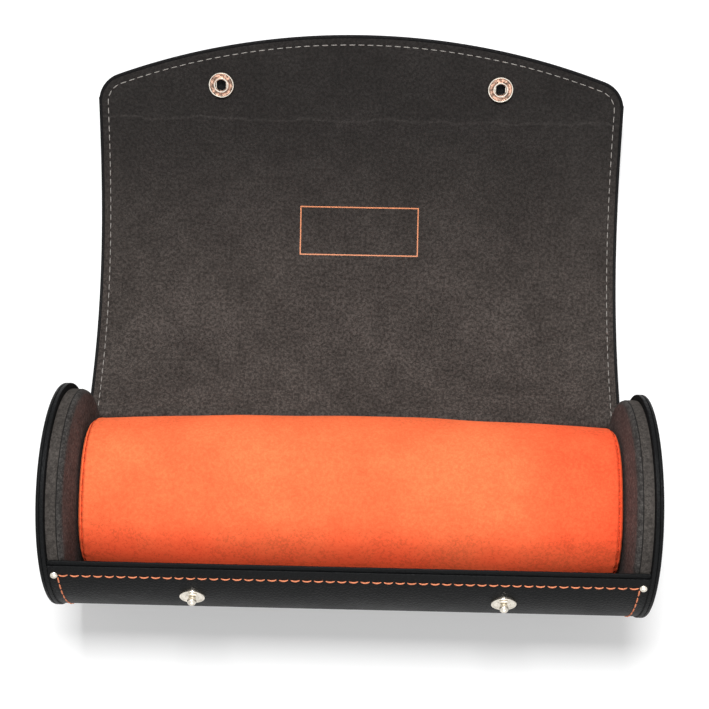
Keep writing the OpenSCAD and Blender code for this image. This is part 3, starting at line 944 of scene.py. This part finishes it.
def build_plugs(context):
    """Padded plugs inside the discs: a suede band, a crowned suede face and the seam between."""
    sizes = context.scene.case_sizes
    r, deep = PLUG_R / MM, (BAY_HALF - PLUG_FACE_X) / MM
    band = revolved(band_outline(r, deep) * MM, PLUG_SIDES)
    face = revolved(face_outline(r, deep, sizes.plug_crown / MM) * MM, PLUG_SIDES)
    seam = plug_seam(r, deep, sizes.plug_stitch_pitch)
    for word, side in SIDES:
        place = at_end(side, False)
        band_node, face_node, pad_node = (f"{word}_plug_{part}" for part in ("band", "face", "pad"))
        made = (
            (f"{word}_plug_suede_band", band, "suede_plug_band", (band_node,)),
            (f"{word}_plug_suede_face", face, "suede_plug_face", (face_node, pad_node)),
        )
        for name, shape, finish_name, nodes in made:
            piece = make_piece(name, placed(shape, *place), finish(context, finish_name), weld=True)
            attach(piece, "tray")
            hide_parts(*nodes)
        stitched = make_piece(f"{word}_plug_seam_stitches", placed(seam, *place),
                              finish(context, "thread_dark"), weld=True)
        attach(stitched, "tray")
        dress_node(context, f"{word}_plug_core")


def out_of_roll(x, a, r):
    """Origin and directions at a place on the roll, the last one pointing straight out of it."""
    z_dir = np.array([0, -math.cos(a), math.sin(a)])
    x_dir = np.array([1.0, 0, 0])
    return on_roll(x, a, r), x_dir, np.cross(z_dir, x_dir), z_dir


# Outlines of the metal in millimetres, as (radius, height over the leather or the lining)
STUD_PLATE = rounded(
    [(1.1, -0.32), (5, -0.32), (5, 1.0), (4.45, 1.0), (4.2, 0.6), (2.75, 0.55), (2.35, 1.0), (1.1, 1.05)],
    [0.05, 0.1, 0.25, 0.2, 0.15, 0.2, 0.2, 0.05], 5)
RIVET = rounded([(0, -0.5), (1.65, -0.5), (1.65, 0.25), (1.15, 1.0), (0, 1.2)],
                [0.01, 0.1, 0.3, 0.4, 0.01], 7)
SOCKET = rounded(
    [(2.5, 0), (5.5, 0), (5.5, 1.6), (4.95, 1.6), (4.75, 1.22), (3.75, 1.2), (3.55, 2.0), (2.5, 2.0),
     (2.5, 1.42), (3.3, 1.42), (3.3, 0.58), (2.5, 0.58)],
    [0.1, 0.2, 0.27, 0.24, 0.15, 0.15, 0.2, 0.2, 0.06, 0.06, 0.06, 0.06], 5)
CAP = rounded(
    [(2.4, 0), (2.9, 0), (2.9, -1.6), (6.2, -1.6), (6.2, -2.0), (5.2, -2.95), (0, -3.0),
     (0, -1.6), (2.4, -1.6)],
    [0.1, 0.1, 0.1, 0.15, 0.2, 0.9, 0.01, 0.01, 0.1], 6)

# Black cup inside a socket's barrel: painted shade where the hole lies in shadow
SHADE_CUP = rounded([(0, -1.58), (2.42, -1.58), (2.42, 0.3), (2.3, 0.3), (2.3, -1.45), (0, -1.45)],
               [0.01, 0.04, 0.04, 0.04, 0.05, 0.01], 3)


def ball_post():
    """Outline of a straight neck with a ball on it, in millimetres."""
    ball_r, neck_r, top = 1.85, 1.2, 4.4
    a = np.linspace(-math.acos(neck_r / ball_r), math.pi / 2, 22)
    ball = np.stack([ball_r * np.cos(a), top - ball_r + ball_r * np.sin(a)], -1)
    return np.concatenate([[(0, -0.8), (neck_r, -0.8), (neck_r, 0.9)], ball[:-1], [(0, top)]])


def build_studs(context):
    """Studs and corner rivets on the front, in nickel."""
    groups = (
        ("snap_stud_rims", STUD_PLATE, SNAP_X, STUD_A, "snap_stud_plates"),
        ("snap_ball_posts", ball_post(), SNAP_X, STUD_A, "snap_posts"),
        ("corner_rivet_heads", RIVET, RIVET_X, RIVET_A, "corner_rivets"),
    )
    for name, outline, x, a, node in groups:
        shape = joined([placed(revolved(np.array(outline) * MM, 64), *out_of_roll(side * x, a, BODY_R))
                        for side in (-1, 1)])
        piece = make_piece(name, shape, finish(context, "nickel"), weld=True)
        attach(piece, "tray")
        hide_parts(node)


def on_snap_panel(x):
    """Origin and directions on the lining at a snap, the last one standing on it."""
    slope = SLOPES[7]
    x_dir = np.array([1.0, 0, 0])
    z_dir = np.array([0, -math.sin(slope), math.cos(slope)])
    return sheet(x, SNAP_PATH, 0), x_dir, np.cross(z_dir, x_dir), z_dir


def spring_wire():
    """One bent spring wire: a round section of radius 0.28 (1 - (y / reach)^12)^(1/2), carried
    along the curve x = 2.27 - 0.0125 y^2 for y from -reach to reach, all in millimetres."""
    reach = 2.2
    y = np.linspace(-reach, reach, 17)
    a = whole_turn(10)
    middle = np.stack([2.27 - 0.0125 * y**2, y, np.full(len(y), 1.0)], -1)
    thick = 0.28 * np.sqrt(1 - (np.abs(y) / reach) ** 12)
    ring = np.stack([np.cos(a), np.zeros(len(a)), np.sin(a)], -1)
    points = middle[:, None] + thick[:, None, None] * ring
    return points.reshape(-1, 3) * MM, ring_quads(numbered(points))


def on_both_snaps(shape):
    """A shape at both snaps of the flap."""
    return joined([placed(shape, *on_snap_panel(side * SNAP_X)) for side in (-1, 1)])


def build_sockets(context):
    """Snap sockets with their rims, springs and black cups of painted shade in their holes, and the caps
    behind them.
    """
    wire = spring_wire()
    wires = joined([wire, (wire[0] * [-1, 1, 1], wire[1][:, ::-1])])
    rims = joined([bead(5.22, 1.45, 0.28), bead(2.95, 1.88, 0.3)])
    groups = (
        ("snap_socket_rings", revolved(SOCKET * MM, 72), "snap_sockets", "nickel_warm"),
        ("snap_socket_rims", rims, None, "nickel"),
        ("snap_socket_springs", wires, "snap_springs", "nickel"),
        ("snap_cap_domes", revolved(CAP * MM, 72), "snap_caps", "nickel"),
    )
    for name, shape, node, metal_name in groups:
        piece = make_piece(name, on_both_snaps(shape), finish(context, metal_name), weld=True)
        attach(piece, "snap_tab")
        if node:
            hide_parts(node)
    # painted shade: a black cup in each socket's hole
    shade_cups = on_both_snaps(revolved(SHADE_CUP * MM, 48))
    piece = make_piece("snap_socket_wells", shade_cups, finish(context, "leather_black"), weld=True)
    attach(piece, "snap_tab")


# Radius of the barrels that join the sockets to their caps, and half the length of the pins
# that bore their holes
BARREL_R, PIN_HALF = 2.9 * MM, 4 * MM


def bored(piece):
    """Bores the holes for the sockets' barrels through a layer of the flap."""
    outline = [(0, -PIN_HALF), (BARREL_R, -PIN_HALF), (BARREL_R, PIN_HALF), (0, PIN_HALF)]
    pins = make_piece("barrel_pins", on_both_snaps(revolved(outline, 40)), piece.data.materials[0], weld=True)
    cut = piece.modifiers.new("bored", "BOOLEAN")
    cut.operation, cut.solver, cut.object = "DIFFERENCE", "EXACT", pins
    shown = piece.evaluated_get(bpy.context.evaluated_depsgraph_get())
    whole, piece.data = piece.data, bpy.data.meshes.new_from_object(shown)
    piece.modifiers.clear()
    pin_mesh = pins.data
    bpy.data.objects.remove(pins)
    for mesh in (pin_mesh, whole):
        bpy.data.meshes.remove(mesh)
    piece.data.name = piece.name


def build_flap(context):
    """The flap's leather and lining in stretches, each lying between two of its bodies."""
    layers = (
        ("leather", 0.0, LEATHER_OVER, LEATHER_UNDER, finish(context, "leather_flap"), "leather_black", 0.0),
        ("lining", BORDER_W, LINING_OVER, LINING_UNDER, finish(context, "suede_lining"), "suede_grey", 1.0),
    )
    for k, (name, _, _, start, end) in enumerate(STRETCHES):
        for word, inset, over, under, material, slot, uneven in layers:
            edges = np.unique(np.concatenate([over[:, 0], under[:, 0]]))
            if name == "tip":
                plan = tip_plan(start, 26, inset, edges)
            else:
                plan = strip_plan(start, end, 22 if k else 34, inset, edges, 30)
            shape, uv = layer(plan, under, over, uneven)
            piece = make_piece(f"flap_{word}_{name}", shape, material, sheet_uv=uv)
            if name == "tip":
                bored(piece)
            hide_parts(f"flap_{word}_{k + 1}")
            bend_with_flap(piece, k)


def edge_stitches(context):
    """The row of stitches round the flap, on its lining and on its leather."""
    sizes = context.scene.case_sizes
    inset = sizes.lining_stitch_inset
    end = tip_outline(inset)
    side_x = FLAP_HALF - inset
    side = np.array([[side_x, 3 * MM], [side_x, end[0, 1] - 0.1 * MM]])
    line = np.concatenate([side, end, side[::-1] * [-1, 1]])
    at, run = even_marks(line, sizes.lining_stitch_pitch)
    step = 0.1 * MM
    ahead, behind = (at + run * step).T, (at - run * step).T
    stretch = np.searchsorted(STRETCH_ENDS, at[:, 1])
    for word, depth, sign in (("inside", 0.06 * MM, 1), ("outside", FLAP_T - 0.02 * MM, -1)):
        centre = sheet(*at.T, depth)
        along = unit(sheet(*ahead, depth) - sheet(*behind, depth))
        out = sign * (sheet(*at.T, depth - step) - centre) / step
        for k, (name, *_) in enumerate(STRETCHES):
            mine = stretch == k
            shape = threads(centre[mine], along[mine], out[mine], sizes.lining_stitch_length,
                            sizes.lining_thread, 0.14 * MM)
            piece = make_piece(f"flap_stitches_{word}_{name}", shape,
                               finish(context, "thread_grey"), weld=True)
            bend_with_flap(piece, k)


# The foil rectangle's left side, and the stretches of the flap that its two halves lie on
FOIL_LEFT = -26.35 * MM
FOIL_LOW_STRETCH, FOIL_HIGH_STRETCH = 4, 5


def foil_bar(x_from, x_to, path_from, path_to):
    """A thin bar of foil on the lining, following its relief, and its sheet coordinates."""
    x, path = np.meshgrid(np.linspace(x_from, x_to, 2 + int((x_to - x_from) / (2 * MM))),
                          np.linspace(path_from, path_to, 2 + int((path_to - path_from) / MM)))
    lie = relief(x, path)
    uv = np.stack([x, path], -1).reshape(-1, 2)
    return slab(sheet(x, path, lie - 0.03 * MM), sheet(x, path, lie + 0.1 * MM)), np.concatenate([uv, uv])


def foil_frame(context):
    """The foil rectangle, as a lower and an upper half of three bars each."""
    sizes = context.scene.case_sizes
    width = sizes.foil_line
    left, right = FOIL_LEFT, FOIL_LEFT + sizes.foil_width
    low, high = sizes.foil_path, sizes.foil_path + sizes.foil_height
    cut = STRETCH_ENDS[FOIL_LOW_STRETCH]
    halves = (
        ("foil_low", FOIL_LOW_STRETCH, (low, low + width), (low + width, cut)),
        ("foil_high", FOIL_HIGH_STRETCH, (high - width, high), (cut, high - width)),
    )
    for name, k, across, upright in halves:
        bars = [foil_bar(left, right, *across), foil_bar(left, left + width, *upright),
                foil_bar(right - width, right, *upright)]
        piece = make_piece(name, joined([shape for shape, _ in bars]), finish(context, "foil_orange"),
                           sheet_uv=np.concatenate([uv for _, uv in bars]))
        bend_with_flap(piece, k)


# How deep the tray's threads lie in the leather, how far they swell out of it, and how far the
# front row's stitches bow sideways and lean
THREAD_SUNK, THREAD_LIFT = 0.05 * MM, 0.2 * MM
FRONT_BOW, FRONT_LEAN = 0.5 * MM, 0.03
# Room between the front row and its rivets, and places of the end rows
RIVET_ROOM = 1.3 * MM
END_ROW_X = RIVET_X - 1.4 * MM
END_ROW_FROM = RIVET_A - 0.9 * MM / BODY_R
END_ROW_TO = BACK_EDGE_A - (TRAY_END - 1 * MM) / BODY_R


def middles_between(start, end, count):
    """The middles of so many equal shares between two values."""
    edges = np.linspace(start, end, count + 1)
    return (edges[:-1] + edges[1:]) / 2


def build_tray_stitches(context):
    """The row of orange stitches along the front edge and one round each end of the tray."""
    sizes = context.scene.case_sizes
    pitch, size = sizes.front_stitch_pitch, (sizes.front_stitch_length, sizes.front_thread, THREAD_LIFT)
    reach = RIVET_X - RIVET_ROOM
    x = middles_between(-reach, reach, round(2 * reach / pitch))
    out = np.array([0, -math.cos(RIVET_A), math.sin(RIVET_A)])
    centre = on_roll(x, RIVET_A, BODY_R - THREAD_SUNK)
    run = unit(np.array([1.0, 0, 0]) + FRONT_LEAN * np.cross(out, [1.0, 0, 0]))
    run, out = np.broadcast_to(run, centre.shape), np.broadcast_to(out, centre.shape)
    shapes = [threads(centre, run, out, *size, FRONT_BOW)]
    a = middles_between(END_ROW_FROM, END_ROW_TO, round((END_ROW_FROM - END_ROW_TO) * BODY_R / pitch))
    out = np.stack([np.zeros(len(a)), -np.cos(a), np.sin(a)], -1)
    run = np.stack([np.zeros(len(a)), np.sin(a), np.cos(a)], -1)
    shapes += [threads(on_roll(side * END_ROW_X, a, BODY_R - THREAD_SUNK), run, out, *size)
               for side in (-1, 1)]
    piece = make_piece("tray_orange_stitches", joined(shapes), finish(context, "thread_orange"), weld=True)
    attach(piece, "tray")


# ---- Cushion ----

SLEEVE_LOW, SLEEVE_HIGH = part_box("cushion_sleeve")
CUSHION_Z = (SLEEVE_LOW.z + SLEEVE_HIGH.z) / 2
CUSHION_HALF_W = (SLEEVE_HIGH.y - SLEEVE_LOW.y) / 2
CUSHION_HALF_H = (SLEEVE_HIGH.z - SLEEVE_LOW.z) / 2
CUSHION_HALF = PLUG_FACE_X - 0.3 * MM
CUSHION_CENTRE = np.array([0, AXIS_Y, CUSHION_Z])
# How far its end panels swell, its sleeve draws in towards the ends, and its edges are round
CUSHION_CAP, CUSHION_DRAW, CUSHION_ROUND = 0.8 * MM, 2.6 * MM, 3.2 * MM
SEAM_X = CUSHION_HALF - CUSHION_CAP - 1.7 * MM
SECTION_POWER = 2.4
# Points round the skin for the simulation, how much smaller it starts, and frames that it runs
CUSHION_SIDES, SLACK, FILL_FRAMES = 72, 1.2 * MM, 20


def cushion_rings(x):
    """Rings of the cushion: at each x a superellipse |y/w|^p + |z/h|^p = 1 whose half sizes are
    smaller by a slow crown, draw (x/half)^3, by a quarter round at the ends, and by the slack
    that filling takes up."""
    crown = CUSHION_DRAW * np.abs(x / CUSHION_HALF) ** 3
    d = np.clip(np.abs(x) - CUSHION_HALF + CUSHION_CAP + CUSHION_ROUND, 0, CUSHION_ROUND)
    less = crown + CUSHION_ROUND - np.sqrt(CUSHION_ROUND**2 - d**2) + SLACK
    a = whole_turn(CUSHION_SIDES)
    c, s = np.cos(a), np.sin(a)
    y = np.sign(c) * np.abs(c) ** (2 / SECTION_POWER) * (CUSHION_HALF_W - less)[:, None]
    z = np.sign(s) * np.abs(s) ** (2 / SECTION_POWER) * (CUSHION_HALF_H - less)[:, None]
    return np.stack([np.broadcast_to(x[:, None], y.shape), AXIS_Y + y, CUSHION_Z + z], -1)


def cushion_skin():
    """The closed skin before it is filled: the sleeve's rings, a quarter round at both ends,
    and end panels whose rings shrink to their middles and swell by cap (1 - share^2). Gives
    the rings and the middles."""
    side = CUSHION_HALF - CUSHION_CAP - CUSHION_ROUND
    body = np.linspace(-1, 1, 61) * side
    edge = side + CUSHION_ROUND * np.sin(np.linspace(0, math.pi / 2, 6)[1:])
    rings = cushion_rings(np.concatenate([-edge[::-1], body, edge]))
    middles = np.array([[-CUSHION_HALF, AXIS_Y, CUSHION_Z], [CUSHION_HALF, AXIS_Y, CUSHION_Z]])
    share = np.linspace(1, 0, 9)[1:-1, None, None]
    panels = []
    for ring, middle in ((rings[0], middles[0]), (rings[-1], middles[1])):
        panel = middle + (ring - middle) * share
        panel[..., :1] = ring[0, 0] + (middle[0] - ring[0, 0]) * (1 - share**2)
        panels.append(panel)
    return np.concatenate([panels[0][::-1], rings, panels[1]]), middles


def skin_shape(rings, middles):
    """Rings joined into a closed skin, with a fan of faces round each middle. A fan's face has
    its middle as two of its corners, which welding makes one."""
    count, sides = rings.shape[:2]
    ends = [np.repeat(middle[None], sides, 0) for middle in middles]
    points = np.concatenate([ends[0], rings.reshape(-1, 3), ends[1]])
    return points, ring_quads(np.arange(len(points)).reshape(count + 2, sides))


def spline(values, t, loop=False):
    """Values at the row numbers t, on the Catmull-Rom curve through the rows: with f = t - i,
    ((-f + 2f^2 - f^3) a + (2 - 5f^2 + 3f^3) b + (f + 4f^2 - 3f^3) c + (f^3 - f^2) d) / 2."""
    n = len(values)
    i = np.floor(t).astype(int)
    f = (t - i).reshape(-1, *[1] * (values.ndim - 1))
    pick = (lambda k: values[(i + k) % n]) if loop else (lambda k: values[np.clip(i + k, 0, n - 1)])
    return ((-f + 2 * f**2 - f**3) * pick(-1) + (2 - 5 * f**2 + 3 * f**3) * pick(0)
            + (f + 4 * f**2 - 3 * f**3) * pick(1) + (f**3 - f**2) * pick(2)) / 2


def filled_skin(rings, middles, most):
    """Fills the skin by cloth simulation, with pressure and no gravity. No point moves further
    than `most`, the moves are evened out between neighbours, and each ring keeps its place
    along the cushion. Gives the rings."""
    rest = np.concatenate([rings.reshape(-1, 3), middles])
    index, sides = numbered(rings), rings.shape[1]
    faces = ring_quads(index).tolist()
    for ring, middle in ((index[0], len(rest) - 2), (index[-1][::-1], len(rest) - 1)):
        faces += np.stack([ring, np.full(sides, middle), np.roll(ring, -1)], -1).tolist()
    mesh = bpy.data.meshes.new("filling")
    mesh.from_pydata(rest.tolist(), [], faces)
    obj = bpy.data.objects.new("filling", mesh)
    scene = bpy.context.scene
    scene.collection.objects.link(obj)
    form = bmesh.new()
    form.from_mesh(mesh)
    bmesh.ops.recalc_face_normals(form, faces=form.faces)
    form.to_mesh(mesh)
    form.free()
    cloth = obj.modifiers.new("filling", "CLOTH")
    cloth.settings.use_pressure = True
    cloth.settings.uniform_pressure_force = 4
    cloth.settings.bending_stiffness = 0.6
    cloth.settings.effector_weights.gravity = 0
    cloth.point_cache.frame_start, cloth.point_cache.frame_end = 1, FILL_FRAMES
    for number in range(1, FILL_FRAMES + 1):
        scene.frame_set(number)
    shown = obj.evaluated_get(bpy.context.evaluated_depsgraph_get())
    moved = np.zeros(rest.size)
    shown.to_mesh().vertices.foreach_get("co", moved)
    shown.to_mesh_clear()
    scene.frame_set(1)
    bpy.data.objects.remove(obj)
    bpy.data.meshes.remove(mesh)
    move = moved.reshape(-1, 3) - rest
    move -= move.mean(0)
    size = np.linalg.norm(move, axis=1, keepdims=True)
    move = (move * np.minimum(1, most / np.maximum(size, 1e-9)))[:-2].reshape(rings.shape)
    for _ in range(12):
        move = (2 * move + np.roll(move, 1, 1) + np.roll(move, -1, 1)) / 4
        move[1:-1] = (2 * move[1:-1] + move[:-2] + move[2:]) / 4
    full = rings + move
    full[..., 0] += (rings[..., 0] - full[..., 0]).mean(1, keepdims=True)
    return full


def sewn(rings):
    """Works the cushion's skin, point by point, out from its middle line: slow hollows of the
    stuffing as a sum of waves along and round it, a groove of the form e^-(d/w)^2 at each end
    seam with fine puckers beside it, and the lining's circle as the furthest it may reach."""
    x = rings[..., 0] / CUSHION_HALF
    y, z = rings[..., 1] - AXIS_Y, rings[..., 2] - CUSHION_Z
    a, r = np.arctan2(z, y), np.maximum(np.hypot(y, z), 1e-6)
    waves = (0.5 * np.sin(5.1 * x + 1.3 + 0.8 * np.sin(a)) * np.cos(a - 0.4)
             + 0.35 * np.sin(9.3 * x - 2 * a) + 0.2 * np.cos(17.9 * x + 3 * a + 0.7))
    d = np.abs(rings[..., 0]) - SEAM_X
    ends = r > 0.6 * CUSHION_HALF_H
    groove = 0.55 * np.exp(-((d / (0.55 * MM)) ** 2))
    puckers = 0.16 * np.sin(46 * a + 3 * np.sin(7 * a)) * np.exp(-((d / (2.2 * MM)) ** 2))
    out = MM * (0.45 * waves * (1 - x**6) - ends * (groove - puckers))
    y, z = y * (1 + out / r), z * (1 + out / r) + CUSHION_Z - AXIS_Z
    reach = np.minimum(1, (BORE_R - 0.25 * MM) / np.maximum(np.hypot(y, z), 1e-6))
    rings[..., 1], rings[..., 2] = AXIS_Y + y * reach, AXIS_Z + z * reach


def cord_ring(line, radius, sides=8):
    """A round cord along a closed line of points: the section turns about each point in the
    plane of the x axis and the direction out of the line's middle."""
    out = unit(line - line.mean(0))
    a = whole_turn(sides)
    ring = np.cos(a)[:, None] * out[:, None] + np.sin(a)[:, None] * np.array([1.0, 0, 0])
    points = line[:, None] + radius * ring
    index = numbered(points)
    return points.reshape(-1, 3), ring_quads(np.concatenate([index, index[:1]]))


def build_cushion(context):
    """One long soft cushion: a suede skin filled by simulation, drawn finer, sewn at the ends."""
    rings, middles = cushion_skin()
    rings = filled_skin(rings, middles, context.scene.case_sizes.cushion_swell)
    fit = np.array([CUSHION_HALF_W, CUSHION_HALF_H]) / np.abs(rings - CUSHION_CENTRE).max((0, 1))[1:]
    rings = CUSHION_CENTRE + (rings - CUSHION_CENTRE) * [1, *fit]
    last = len(rings) - 1
    seam_row = np.interp(-SEAM_X, rings[:20, :, 0].mean(1), np.arange(20))
    near = np.linspace(-1.2, 1.2, 25)
    rows = np.concatenate([np.linspace(0, last, 180), seam_row + near, last - seam_row - near])
    fine = spline(rings, np.unique(rows.round(2)))
    turns = np.arange(3 * CUSHION_SIDES) / 3
    fine = np.swapaxes(spline(np.swapaxes(fine, 0, 1), turns, loop=True), 0, 1)
    sewn(fine)
    piece = make_piece("cushion_suede", skin_shape(fine, middles), finish(context, "suede_orange"),
                       weld=True, smooth=75)
    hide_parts("cushion_sleeve", "cushion_end_panels", "cushion_foam")
    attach(piece, "cushion")
    from_seam = np.abs(np.abs(fine[:, :, 0].mean(1)) - SEAM_X)
    half = len(fine) // 2
    lines = [fine[np.argmin(from_seam[:half])], fine[half + np.argmin(from_seam[half:])]]
    # a darker red cord in each end seam: painted shade in the seam's fold
    seam = make_piece("cushion_end_seams", joined([cord_ring(line, 0.3 * MM) for line in lines]),
                      finish(context, "suede_seam"), smooth=60)
    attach(seam, "cushion")


# ---- Stage ----

# Light of the world on what isn't seen directly or in a gloss
WORLD_LIGHT = 0.3
# The floor's own glow near the case, and between which distances it rises to white
FLOOR_GLOW, GLOW_RISE, FLOOR_HALF = 0.2, (0.22, 0.7), 4.0
# Lamps as (name, place, what it faces, size, watts)
LAMPS = (
    ("key_lamp", (-0.03, 0.3, 0.96), (0, 0, 0.03), 0.3, 10.5),
    ("fill_lamp", (0.1, -0.75, 0.6), (0, -0.05, 0.05), 0.8, 2.7),
)
# The photograph's camera: its place, its right-hand direction, the direction behind it, its lens
CAMERA_PLACE = (9.884 * MM, -78.008 * MM, 626.164 * MM)
CAMERA_RIGHT, CAMERA_BACK = (0.99965, 0.02207, -0.01444), (0.01663, -0.10284, 0.99456)
SENSOR_W, LENS = 36, 70.953


def build_floor(scene):
    """A white floor whose glow, seen by the camera alone, rises to white away from the case."""
    ground = Wires("floor_white")
    away = ground.vector("LENGTH", ground.place(False), output="Value")
    glow = ground.add("Emission", [("Strength", ground.spread(away, *GLOW_RISE, FLOOR_GLOW, 1.0))])
    ray = ground.add("LightPath")
    ground.finish_with(Base_Color=(0.85, 0.85, 0.85, 1), Roughness=0.9, Specular_IOR_Level=0.0)
    plain = ground.shader.outputs[0]
    both = ground.add("AddShader", [(0, plain), (1, glow.outputs[0])])
    seen = ground.add("MixShader", [(0, ray.outputs["Is Camera Ray"]), (1, plain), (2, both.outputs[0])])
    output = next(n for n in ground.tree.nodes if n.type == "OUTPUT_MATERIAL")
    ground.tree.links.new(seen.outputs[0], output.inputs["Surface"])
    mesh = bpy.data.meshes.new("studio_floor")
    corners = [(-1, -1, 0), (1, -1, 0), (1, 1, 0), (-1, 1, 0)]
    mesh.from_pydata((np.array(corners) * FLOOR_HALF).tolist(), [], [(0, 1, 2, 3)])
    mesh.materials.append(ground.material)
    floor = bpy.data.objects.new("studio_floor", mesh)
    scene.collection.objects.link(floor)


def build_world(scene):
    """A plain world, white to the camera and in glosses, and dimmer as a light."""
    world = bpy.data.worlds.new("studio")
    world.use_nodes = True
    scene.world = world
    tree = world.node_tree
    plain = next(n for n in tree.nodes if n.type == "BACKGROUND")
    plain.inputs["Color"].default_value = (1, 1, 1, 1)
    ray = tree.nodes.new("ShaderNodeLightPath")
    either, least = (tree.nodes.new("ShaderNodeMath") for _ in range(2))
    either.operation = least.operation = "MAXIMUM"
    tree.links.new(ray.outputs["Is Camera Ray"], either.inputs[0])
    tree.links.new(ray.outputs["Is Glossy Ray"], either.inputs[1])
    tree.links.new(either.outputs[0], least.inputs[0])
    least.inputs[1].default_value = WORLD_LIGHT
    tree.links.new(least.outputs[0], plain.inputs["Strength"])


def build_lamps(scene):
    """Square soft lamps."""
    for name, place, target, size, watts in LAMPS:
        data = bpy.data.lights.new(name, "AREA")
        data.shape, data.size, data.energy = "SQUARE", size, watts
        lamp = bpy.data.objects.new(name, data)
        lamp.location = place
        lamp.rotation_euler = (Vector(target) - Vector(place)).to_track_quat("-Z", "Y").to_euler()
        scene.collection.objects.link(lamp)


def build_camera(scene):
    """The camera that the photograph was taken with, its directions squared up."""
    right, back = Vector(CAMERA_RIGHT).normalized(), Vector(CAMERA_BACK).normalized()
    up = back.cross(right).normalized()
    right = up.cross(back)
    data = bpy.data.cameras.new("photo_camera")
    data.sensor_width, data.lens = SENSOR_W, LENS
    data.clip_start, data.clip_end = 0.01, 20
    camera = bpy.data.objects.new("photo_camera", data)
    turn = Matrix((right, up, back)).transposed().to_4x4()
    camera.matrix_world = Matrix.Translation(CAMERA_PLACE) @ turn
    scene.collection.objects.link(camera)
    scene.camera = camera


def build_stage(context):
    """White floor that keeps the shadow, soft lamps, a plain world and the photograph's camera."""
    context.scene.view_settings.view_transform = "Standard"
    for build in (build_floor, build_world, build_lamps, build_camera):
        build(context.scene)


# ---- Operators and panel ----


class CASE_OT_tray(bpy.types.Operator):
    """Build the tray's leather, its lining and the facing of the front lip"""

    bl_idname = "case.tray"
    bl_label = "Tray"

    def execute(self, context):
        build_tray(context)
        return {"FINISHED"}


class CASE_OT_discs(bpy.types.Operator):
    """Build the two round end discs"""

    bl_idname = "case.discs"
    bl_label = "End discs"

    def execute(self, context):
        build_discs(context)
        return {"FINISHED"}


class CASE_OT_plugs(bpy.types.Operator):
    """Build the two padded plugs with their seams"""

    bl_idname = "case.plugs"
    bl_label = "Padded plugs"

    def execute(self, context):
        build_plugs(context)
        return {"FINISHED"}


class CASE_OT_flap(bpy.types.Operator):
    """Build the flap's leather and lining"""

    bl_idname = "case.flap"
    bl_label = "Flap"

    def execute(self, context):
        build_flap(context)
        return {"FINISHED"}


class CASE_OT_flap_trim(bpy.types.Operator):
    """Build the flap's stitches and its foil rectangle"""

    bl_idname = "case.flap_trim"
    bl_label = "Flap trim"

    def execute(self, context):
        edge_stitches(context)
        foil_frame(context)
        return {"FINISHED"}


class CASE_OT_tray_stitches(bpy.types.Operator):
    """Build the orange stitches along the front and round both ends of the tray"""

    bl_idname = "case.tray_stitches"
    bl_label = "Tray stitches"

    def execute(self, context):
        build_tray_stitches(context)
        return {"FINISHED"}


class CASE_OT_studs(bpy.types.Operator):
    """Build the studs and the corner rivets"""

    bl_idname = "case.studs"
    bl_label = "Studs and rivets"

    def execute(self, context):
        build_studs(context)
        return {"FINISHED"}


class CASE_OT_sockets(bpy.types.Operator):
    """Build the snap sockets, their springs and their caps"""

    bl_idname = "case.sockets"
    bl_label = "Snap sockets"

    def execute(self, context):
        build_sockets(context)
        return {"FINISHED"}


class CASE_OT_cushion(bpy.types.Operator):
    """Build the cushion: fill its skin by simulation, then sew its seams"""

    bl_idname = "case.cushion"
    bl_label = "Cushion"

    def execute(self, context):
        build_cushion(context)
        return {"FINISHED"}


class CASE_OT_stage(bpy.types.Operator):
    """Build the floor, the lamps, the world and the camera"""

    bl_idname = "case.stage"
    bl_label = "Stage"

    def execute(self, context):
        build_stage(context)
        return {"FINISHED"}


STEPS = (CASE_OT_tray, CASE_OT_discs, CASE_OT_plugs, CASE_OT_flap, CASE_OT_flap_trim,
         CASE_OT_tray_stitches, CASE_OT_studs, CASE_OT_sockets, CASE_OT_cushion, CASE_OT_stage)


class CASE_PT_panel(bpy.types.Panel):
    """Lists the settings and the steps of the travel case"""

    bl_label = "Travel case"
    bl_idname = "CASE_PT_panel"
    bl_space_type = "VIEW_3D"
    bl_region_type = "UI"
    bl_category = "Travel Case"

    def draw(self, context):
        for group in (context.scene.case_sizes, context.scene.case_finish):
            box = self.layout.box()
            for key in group.__annotations__:
                box.prop(group, key)
        for step in STEPS:
            self.layout.operator(step.bl_idname)


CLASSES = (CaseSizes, CaseFinish, *STEPS, CASE_PT_panel)


def register():
    """Registers the classes and hangs the settings on the scene."""
    for cls in CLASSES:
        bpy.utils.register_class(cls)
    bpy.types.Scene.case_sizes = bpy.props.PointerProperty(type=CaseSizes)
    bpy.types.Scene.case_finish = bpy.props.PointerProperty(type=CaseFinish)


def unregister():
    """Takes them away again."""
    del bpy.types.Scene.case_sizes
    del bpy.types.Scene.case_finish
    for cls in reversed(CLASSES):
        bpy.utils.unregister_class(cls)


def main():
    """Builds every piece and the stage."""
    register()
    for step in STEPS:
        group, name = step.bl_idname.split(".")
        getattr(getattr(bpy.ops, group), name)()


if __name__ == "__main__":
    main()
